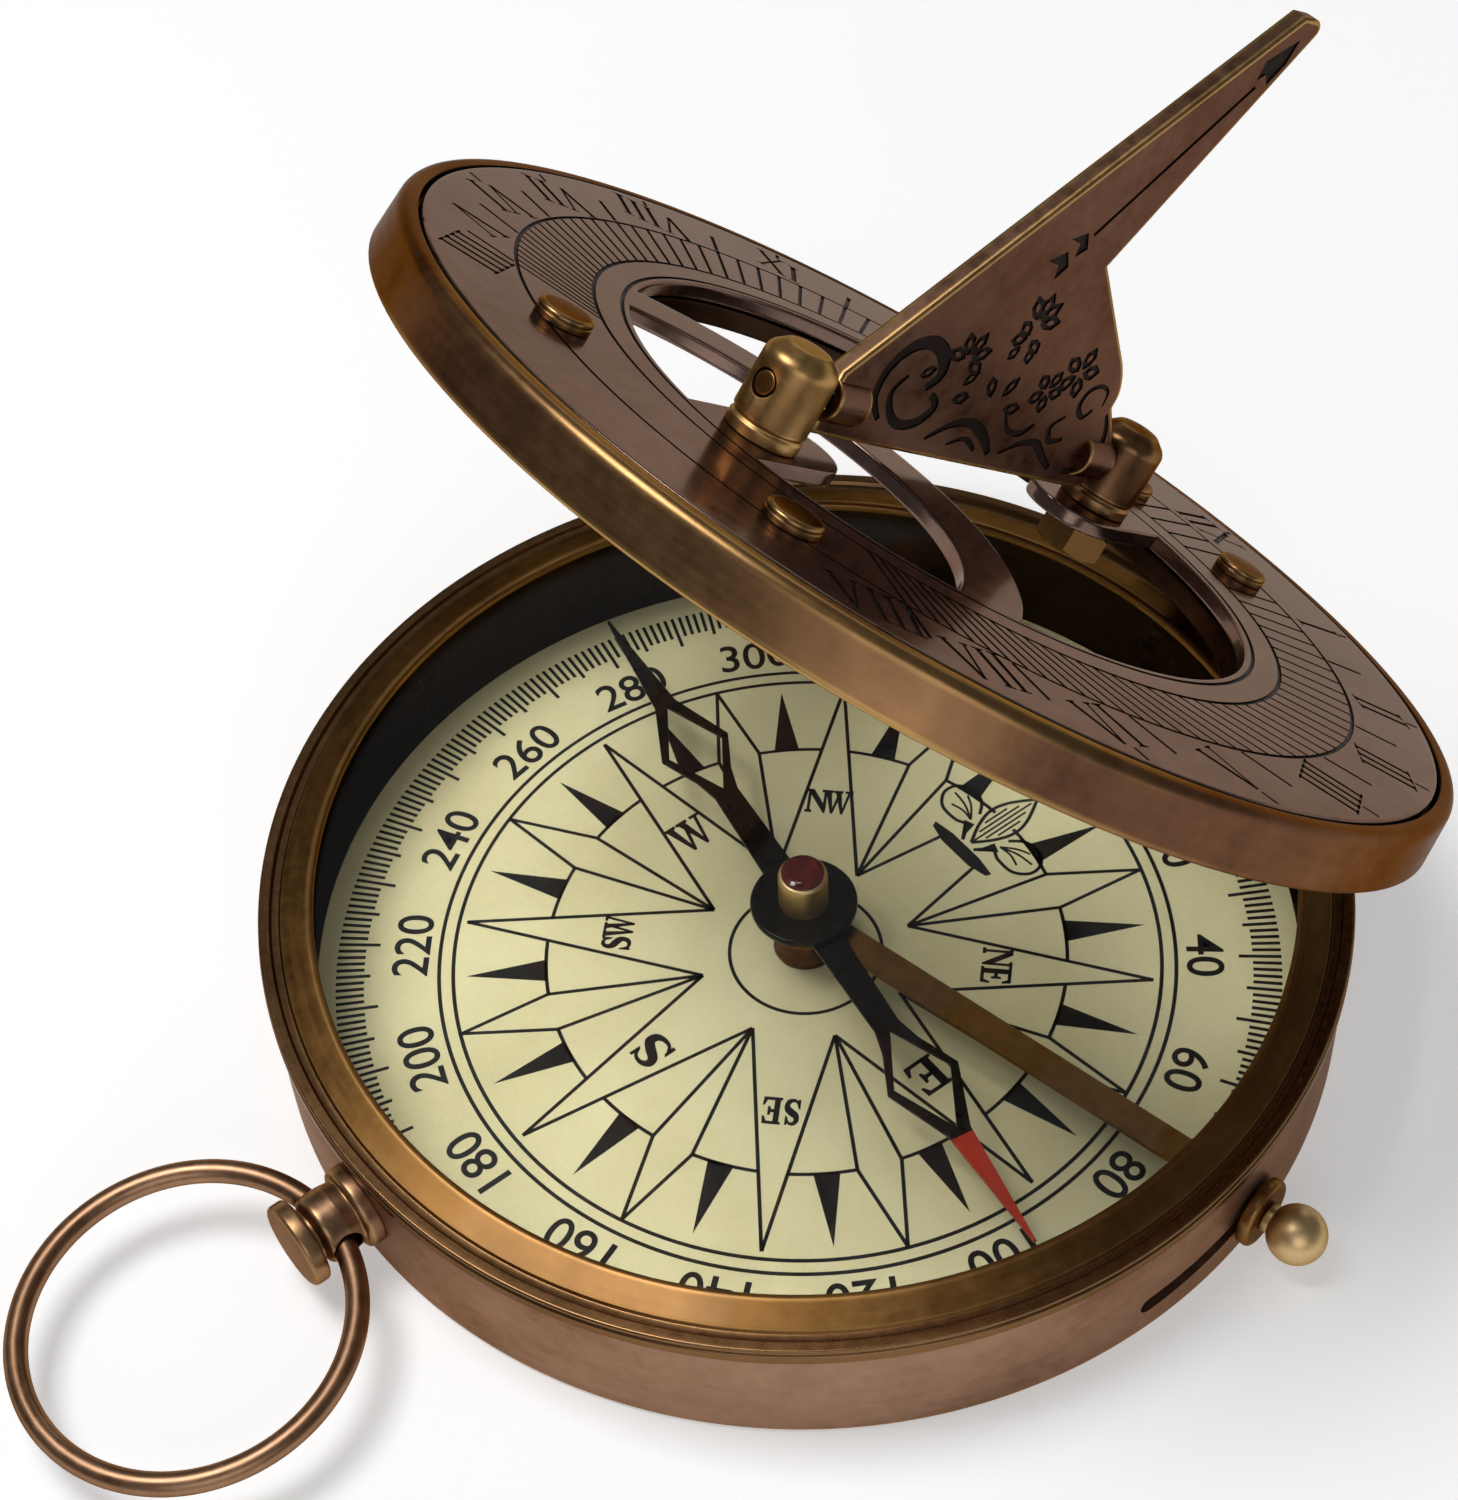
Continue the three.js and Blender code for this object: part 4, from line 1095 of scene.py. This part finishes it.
LID_OUT_LOW = 40.47
LID_OUT_TOP = 40.07
LID_LOW = -4.15
LID_FLOOR = -1.3
FLOOR_THICK = 1.55
COVER_BORE = 37.32
PLATE_HOLLOW = 38.87
PLATE_RADIUS = 38.57
PLATE_THICK = 1.15
WINDOW = 23.6
SKIN = 0.12
RING_INNER = 24.2
SCALE_IN = 26.3
SCALE_OUT = 31.95
NUMERAL_RADIUS = 34.95
HOUR_CENTRE = Vector((0.5, -17))
HOUR_STEP = 15.25
FIRST_HOUR = -8
PARTS_OF_HOUR = 6
SCALE_HOURS = 7.5
LINE = 0.3
SERIF = 0.45
HOUR_LINE_START = 2.3
HOUR_LINE_END = 38.1
HALF_LINE_END = 35.4
HALF_LINE = 0.36
HALF_LINE_GAP = 0.25
WEB_CENTRE = (0, -26.3)
WEB_OUTER = 23.1
WEB_INNER = 18.9
POST_HOLE = 1.35
STUD_HOLE = 0.75
STUDS = {"ne": (7.52, 29.29), "nw": (-4.18, 28.99), "se": (11.51, -28.49), "sw": (-11.02, -28.42)}
STUD_CLEAR = 2.3
# Azimuth where the lid rim's painted highlight is strongest.
RIM_HIGHLIGHT_AZIMUTH = radians(-65)
# The north post's look, the darker brown brass, is painted shade where the gnomon shades it; the south
# post has the bright brass.
FOLD_ENDS = {"south": (FOLD_SOUTH, 16.2, -19.7, bright), "north": (FOLD_NORTH, 16, 18.9, brown)}
FOLD_BORE = 0.95


def make_rim():
    rim = lathe_mesh("rim", [
        (WINDOW, LID_FLOOR - FLOOR_THICK, 0.2), (COVER_BORE, LID_FLOOR - FLOOR_THICK, 0.3),
        (COVER_BORE, LID_LOW, 0.15), (LID_OUT_LOW, LID_LOW, 0.3), (LID_OUT_TOP, 0, 0.75),
        (PLATE_HOLLOW, 0, 0.1), (PLATE_HOLLOW, LID_FLOOR), (WINDOW, LID_FLOOR, 0.1)],
        FINE, ring=True, steps=7)
    for face in rim.polygons:
        radius = radius_of(face.center)
        # Painted shade: the hollow's wall in the gap round the plate gets the near-black material.
        if 37 < radius < PLATE_HOLLOW + 0.01 and -1.35 < face.center.z / MM < -0.05:
            face.material_index = 1
        # Painted shade: the window's inner wall gets the dark shade material.
        elif radius < WINDOW + 0.2:
            face.material_index = 2
    # Partly wear and partly painted highlight: the gold on the rim's edges, at least 0.52 of it on the
    # outer side, is strongest on one side of the lid, where the lamp's highlight falls, and fades to a
    # quarter elsewhere.
    edge = rim.attributes["edge"].data
    for vertex in rim.vertices:
        highlight_lobe = max(0.0, cos(atan2(vertex.co.y, vertex.co.x) - RIM_HIGHLIGHT_AZIMUTH)) ** 3
        mark = edge[vertex.index].value
        if radius_of(vertex.co) > LID_OUT_TOP:
            mark = max(mark, 0.52)
        edge[vertex.index].value = mark * (0.25 + 0.75 * highlight_lobe)
    add("lid_ring", rim, [lid_dark, gap_shade, shade], LID, "lid", "dark_brass", "lid_rim")


def hour_ray(hours):
    """The direction of an hour line, and a function that gives its point on a circle of some radius."""
    angle = radians(HOUR_STEP * hours)
    direction = Vector((sin(angle), cos(angle)))
    run = HOUR_CENTRE.dot(direction)

    def at(radius):
        reach = sqrt(run * run - HOUR_CENTRE.length_squared + radius * radius)
        return HOUR_CENTRE + direction * (reach - run)

    return direction, at


# Each Roman letter: its room, its strokes as two ends and a share of the full width, and its serifs as
# a place, a height and a reach. Heights are -1 at the foot and 1 at the top.

ROMAN = {
    "I": (1.2, [(0, -1, 0, 1, 1)], [(0, 1, 0.48), (0, -1, 0.48)]),
    "V": (2.6, [(-0.85, 1, 0, -1, 1), (0.85, 1, 0, -1, 0.55)], [(-0.85, 1, 0.42), (0.85, 1, 0.36)]),
    "X": (2.7, [(-0.9, 1, 0.9, -1, 1), (0.9, 1, -0.9, -1, 0.55)],
          [(-0.9, 1, 0.38), (0.9, 1, 0.38), (-0.9, -1, 0.38), (0.9, -1, 0.38)]),
}


def numeral_strokes(text, middle, top, height=4.1, width=0.42):
    """Roman numeral strokes with serifs, in a row about middle, with their tops towards top."""
    across = Vector((top.y, -top.x))
    half = height / 2
    made = []
    start = -sum(ROMAN[letter][0] for letter in text) / 2
    for letter in text:
        room, strokes, serifs = ROMAN[letter]
        centre = start + room / 2
        lines = strokes + [(x - reach, y, x + reach, y, SERIF) for x, y, reach in serifs]
        for x0, y0, x1, y1, share in lines:
            made.append(stroke(middle + across * (centre + x0) + top * (half * y0),
                               middle + across * (centre + x1) + top * (half * y1), width * share))
        start += room
    return made


def plate_marks():
    """Everything that is engraved on the hour ring, in mm."""
    marks = []
    for i in range(int(2 * SCALE_HOURS * PARTS_OF_HOUR) + 1):
        _, at = hour_ray(i / PARTS_OF_HOUR - SCALE_HOURS)
        marks.append(stroke(at(SCALE_IN), at(SCALE_OUT), LINE))
    names = "IIII V VI VII VIII IX X XI XII I II III IIII V VI VII VIII".split()
    for hours, name in enumerate(names, FIRST_HOUR):
        direction, at = hour_ray(hours)
        middle = at(NUMERAL_RADIUS)
        marks += numeral_strokes(name, middle, -direction)
        if abs(hours) <= 6:
            marks.append(stroke(middle + direction * HOUR_LINE_START, at(HOUR_LINE_END), LINE))
        if hours > FIRST_HOUR:
            between, at = hour_ray(hours - 0.5)
            start = at(SCALE_OUT) + between * HALF_LINE_GAP
            marks.append(stroke(start, at(HALF_LINE_END), HALF_LINE))
    return marks


def tab_outline(sign):
    """A tab that carries a post: a strip from the window's rim with a round end."""
    half, end, root = 3.5, 16.7, 25.5
    points = [(-half, root), *arc(half, 180, 360, 32, (0, end)), (half, root)]
    return [(x, sign * y) for x, y in points]


def near_stud(mark):
    """True if an engraved mark would run under one of the round studs."""
    for place in STUDS.values():
        for a, b in neighbours(mark):
            start, end = Vector(a), Vector(b)
            if any((start.lerp(end, k / 8) - Vector(place)).length < STUD_CLEAR for k in range(9)):
                return True
    return False


def make_plate():
    outlines = [circle(PLATE_RADIUS, FINE), circle(WINDOW), tab_outline(1), tab_outline(-1),
                circle(WEB_OUTER, centre=WEB_CENTRE), circle(WEB_INNER, centre=WEB_CENTRE)]
    outlines += [circle(POST_HOLE, 32, (0, y)) for _, _, y, _ in FOLD_ENDS.values()]
    outlines += [circle(STUD_HOLE, 24, place) for place in STUDS.values()]

    def solid(numbers):
        window = 1 in numbers and 2 not in numbers and 3 not in numbers
        web = 4 in numbers and 5 not in numbers
        hole = any(n > 5 for n in numbers)
        return 0 in numbers and not hole and (web or not window)

    marks = [(mark, None) for mark in plate_marks() if not near_stud(mark)]
    for radius in (RING_INNER, SCALE_IN, SCALE_OUT):
        marks.append((circle(radius + LINE / 2), circle(radius - LINE / 2)))
    plate = slab(loops_of(outlines, solid), -PLATE_THICK, 0, 0.15, marks, SKIN)
    # Painted shade: the plate's outer edge, in the gap to the rim, gets the near-black plate_deep.
    for face in plate.polygons:
        if radius_of(face.center) > PLATE_RADIUS - 0.05:
            face.material_index = 1
    add("hour_plate", plate, [plate_face, plate_deep], LID, "lid", "lacquered_plate", "sundial_plate",
        angle=40)


def make_stud(corner):
    stud = lathe_mesh("stud", [
        (0, -PLATE_THICK), (0.7, -PLATE_THICK), (0.7, 0.02), (1.9, 0.02, 0.06), (1.9, 0.42, 0.05),
        (1.8, 0.48, 0.04), (1.9, 0.54, 0.05), (1.9, 0.88, 0.25), (0, 1.0)], 64, steps=5)
    add(f"stud_{corner}", stud, brown, LID @ shift(*STUDS[corner], 0), "lid", "bright_brass",
        f"plate_stud_{corner}")


def make_post(end):
    _, _, y, look = FOLD_ENDS[end]
    post = lathe_mesh("post", [
        (0, -3.95), (1.2, -3.95, 0.2), (1.2, 0.02), (2.55, 0.02, 0.1), (2.55, 0.75, 0.12),
        (2.36, 0.98, 0.12), (2.55, 1.2, 0.12), (2.55, 5.5, 1.0), (1.5, 6.35, 0.8), (0, 6.6)], steps=6)
    post = bevelled(carved(post, [moved(rod(FOLD_BORE, -4, 4), FOLD_NORTH)]), 0.12, 45, 2)
    add(f"post_{end}", post, look, LID @ shift(0, y, 0), "lid", "bright_brass", f"gnomon_post_{end}")


def make_nut(end):
    _, _, y, _ = FOLD_ENDS[end]
    top, low = LID_FLOOR, LID_FLOOR - 2.4
    corner = 4.9 / 2 / cos(pi / 6)
    wide, narrow, overrun = corner + 0.12, 2.01, 0.2
    cone = lathe_mesh("cone", [(0, low - overrun), (narrow, low - overrun), (wide, low + 0.45),
                               (wide, top - 0.45), (narrow, top + overrun), (0, top + overrun)])
    nut = carved(rod(corner, low, top, 6), [cone], "INTERSECT")
    nut = carved(nut, [rod(1.3, low - 1, top + 1)])
    add(f"nut_{end}", nut, warm, LID @ shift(0, y, 0), "lid", "warm_brass", f"post_nut_{end}")


def make_pin(end):
    frame_of_end, boss_end, y, _ = FOLD_ENDS[end]
    pin = moved(rod(0.8, boss_end - 2.4, abs(y) + 2.4, edge=0.1), frame_of_end)
    add(f"fold_pin_{end}", pin, warm, LID, "lid", "warm_brass", f"pivot_pin_{end}", axis=FOLD_NORTH)


# Gnomon

GNOMON_HALF = 0.7
GNOMON_SKIN = 0.1
GNOMON_LOW = 1.1
GNOMON_SOUTH = -16.2
FOOT_Y = -20.5
STYLE_Y = 7.9
LATITUDE = 52.2


def gnomon_outline():
    rise = tan(radians(LATITUDE))
    tip_h = (STYLE_Y - FOOT_Y) * rise
    points = [(GNOMON_SOUTH, GNOMON_LOW), (14.1, GNOMON_LOW)]
    points += bent([(14.1, GNOMON_LOW), (15.3, 1.6), (16, 3.3), (15.75, 4.9), (15.05, 5.85)], 4)[1:]
    points += [(13.2, 7.6)]
    points += bent([(13.2, 7.6), (13.05, 8.7), (12.3, 9.9), (11.3, 10.9)], 4)[1:]
    points += [(3.2, 17.0), *arc(0.72, -20, 99, 6, (9.42, tip_h - 0.55)), (STYLE_Y, tip_h)]
    points += [(GNOMON_SOUTH, (GNOMON_SOUTH - FOOT_Y) * rise)]
    return points


# The ornament on the gnomon: its arrow and buds as outlines, its petals as a place, a length, a width
# and angles, and its curls as a width and a line. PETAL is an outline in shares of length and width.

PETAL = [(0.12, 0), (0.35, 0.4), (0.7, 0.5), (1, 0.06), (1, -0.06), (0.7, -0.5), (0.35, -0.4)]
ARROW = [stroke((-0.3, 18.7), (6.9, 31.3), LINE),
         [(6.6, 31.7), (6.4, 33.1), (8.6, 35.2), (8.6, 33.4), (7.9, 31.7), (7.2, 32.3)],
         [(-2.3, 18.0), (-0.95, 18.75), (-0.1, 17.7), (-0.9, 16.9), (-1.15, 17.9)],
         [(-3.3, 16.2), (-1.9, 17.15), (-0.95, 16.2), (-1.6, 15.1), (-2.05, 16.1)]]
PETALS = [
    (-0.6, 11.9, 2.4, 1.15, (14, 52, 90, 128)), (-0.4, 10.9, 1.9, 1.1, (-30, 150, 195)),
    (0.2, 10.5, 1.6, 0.95, (-65,)), (-0.8, 10.4, 1.5, 0.95, (-115,)),
    (7.1, 9.4, 2.1, 1.25, range(12, 372, 72)), (4.7, 7.6, 1.75, 1.1, range(0, 360, 72)),
    (-5.4, 8.4, 2.2, 1.1, (-20, 28, 76, 124, 172)), (-9.4, 6.4, 1.8, 0.9, (30,)),
    (-4.9, 5.4, 2.0, 1.0, (15,)), (-4.6, 6.4, 1.8, 0.9, (50,)), (0.2, 6.2, 2.1, 1.0, (66,)),
    (0.9, 5.6, 2.1, 1.0, (10,)), (-0.6, 6.0, 2.1, 1.0, (126,)),
]
CURLS = [
    (0.5, [(11.8, 7.5), (11.5, 8.6), (10.3, 8.9), (9.3, 8.2), (9.3, 7.0), (10.3, 6.4), (11.0, 7.1)]),
    (0.75, [(12.9, 7.0), (14.1, 5.6), (14.4, 4.0), (13.5, 2.7), (11.8, 2.2)]),
    (1.15, [(-10.7, 3.0), (-12.2, 4.4), (-12.5, 6.4), (-11.6, 8.1), (-9.9, 8.9), (-8.1, 8.4),
            (-7.1, 7.0), (-7.9, 5.8)]),
    (0.85, [(-10.2, 6.4), (-10.9, 5.1), (-10.1, 3.8), (-8.6, 3.0), (-6.8, 3.4), (-5.9, 4.7),
            (-6.9, 5.5)]),
    (0.85, [(-5.0, 2.4), (-3.2, 3.7), (-1.2, 4.2), (0.8, 3.5), (2.5, 2.3)]),
    (0.45, [(-2.5, 2.3), (-0.9, 3.0), (0.8, 2.3)]),
    (0.7, [(3.5, 2.5), (5.2, 3.5), (6.9, 3.8), (8.4, 3.0), (10.0, 2.2)]),
    (0.55, [(1.9, 5.3), (3.0, 4.3), (4.5, 4.2), (5.6, 5.1)]),
    (0.55, [(8.5, 6.2), (7.5, 5.2), (8.2, 4.2), (9.6, 4.5)]),
]


def petal(x, y, length, width, angle):
    """The outline of a petal, and that of the island in its middle."""
    c, s = cos(radians(angle)), sin(radians(angle))
    leaf = [(x + (a * length) * c - (b * width) * s, y + (a * length) * s + (b * width) * c)
            for a, b in PETAL]
    middle = Vector((x + 0.58 * length * c, y + 0.58 * length * s))
    return leaf, [tuple(middle + (Vector(point) - middle) * 0.36) for point in leaf]


def curl(width, points):
    """A line that swells from its start and thins towards its end."""
    line = bent(points, 5)
    widths = []
    for i in range(len(line)):
        along = i / (len(line) - 1)
        share = 0.35 + 0.65 * sin(pi * min(along * 1.25, 1) / 2) - 0.7 * max(along - 0.75, 0) * 2.6
        widths.append(width * max(share, 0.25))
    return ribbon(line, widths)


def ornament():
    """Traditional scroll, flowers, buds and an arrow, as pairs of an outline and its island."""
    marks = [(outline, None) for outline in ARROW]
    for *form, angles in PETALS:
        marks += [petal(*form, angle) for angle in angles]
    return marks + [(curl(width, points), None) for width, points in CURLS]


def make_gnomon():
    body = slab(loops_of([gnomon_outline()]), -GNOMON_HALF, GNOMON_HALF, 0.26, ornament(), GNOMON_SKIN,
                both=True, steps=4, wall=0.45)
    # From a sheet in x, y to the lid's y, z plane, with its thickness along x
    body = moved(body, Matrix(((0, 0, 1, 0), (1, 0, 0, 0), (0, 1, 0, 0), (0, 0, 0, 1))))
    bosses = []
    for frame_of_end, boss_end, _, _ in FOLD_ENDS.values():
        boss = moved(rod(1.6, boss_end - 3.2, boss_end, 64, 0.12), frame_of_end)
        bore = moved(rod(FOLD_BORE, boss_end - 2.6, boss_end + 1), frame_of_end)
        bosses.append(carved(boss, [bore]))
    for name, mesh, look in (("gnomon_blade", body, [blade, plate_deep]),
                             ("gnomon_bosses", merged(*bosses), blade)):
        add(name, mesh, look, LID, "gnomon_plate", "dark_brass", "gnomon", angle=40)


make_case()
make_print()
make_pendant()
make_bail()
make_lock()
make_needle()
make_rim()
make_plate()
for stud_corner in STUDS:
    make_stud(stud_corner)
for make in (make_post, make_nut, make_pin):
    for fold_end in FOLD_ENDS:
        make(fold_end)
make_gnomon()

CARRIED = {
    "bright_carried": (BRIGHT, ["pivot_post", "hinge_pin"]),
    "warm_carried": (WARM, ["lift_bush"]),
    "patina_carried": (PATINA, ["case_hinge_leaf"]),
    "lid_carried": (LID_DARK, ["lid_hinge_knuckle"]),
}
for look_name, (settings, node_names) in CARRIED.items():
    carried_look = metal(look_name, **settings, carried=True)
    for node_name in node_names:
        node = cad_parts[node_name]
        for material_slot in node.material_slots:
            material_slot.material = carried_look
        round_edges(node, 0.12, 50, 2)


# Floor, lamps and world. The floor glows to the camera, in metal and through glass, and more far off.

WHITE = (1, 1, 1, 1)
FLOOR_SIZE = 60


def make_floor():
    bm = bmesh.new()
    bmesh.ops.create_grid(bm, x_segments=8, y_segments=8, size=FLOOR_SIZE)
    floor = placed("floor", mesh_from(bm, "floor", outward=False))
    made, tree, shader = nodes_of("floor")
    preset(shader, Base_Color=(0.86, 0.86, 0.86, 1), Roughness=0.9, Specular_IOR_Level=0.1)
    path = new_node(tree, "LightPath").outputs
    indirect = math_node("MAXIMUM", path["Is Glossy Ray"], path["Is Transmission Ray"])
    seen = math_node("MAXIMUM", path["Is Camera Ray"], indirect)
    distance = new_node(tree, "VectorMath")
    distance.operation = "LENGTH"
    link(new_node(tree, "TexCoord").outputs["Object"], distance.inputs[0])
    far = span(distance.outputs["Value"], 0.35, 1.0, 0.3, 1.1)
    glow = new_node(tree, "Emission")
    link(math_node("MULTIPLY", seen, far), glow.inputs["Strength"])
    both = new_node(tree, "AddShader")
    link(shader.outputs[0], both.inputs[0])
    link(glow.outputs[0], both.inputs[1])
    link(both.outputs[0], tree.nodes["Material Output"].inputs["Surface"])
    floor.data.materials.append(made)


def lamp(name, place, size, power, target=(0, 0, 0.02)):
    data = bpy.data.lights.new(name, "AREA")
    data.shape = "RECTANGLE"
    data.size, data.size_y = size
    data.energy = power
    aim = Vector(place) - Vector(target)
    turned_lamp = aim.to_track_quat("Z", "Y").to_matrix().to_4x4()
    placed(name, data).matrix_world = Matrix.Translation(place) @ turned_lamp


make_floor()
lamp("key", (-0.15, -0.125, 0.62), (0.28, 0.28), 2.45)
lamp("fill", (0.5, -0.35, 0.35), (0.5, 0.4), 0.85)
lamp("rim", (-0.3, 0.5, 0.3), (0.4, 0.2), 0.25)

scene.world = bpy.data.worlds.new("studio")
scene.world.use_nodes = True
preset(scene.world.node_tree.nodes["Background"], Color=WHITE, Strength=0.12)

scene.view_settings.view_transform = "Standard"
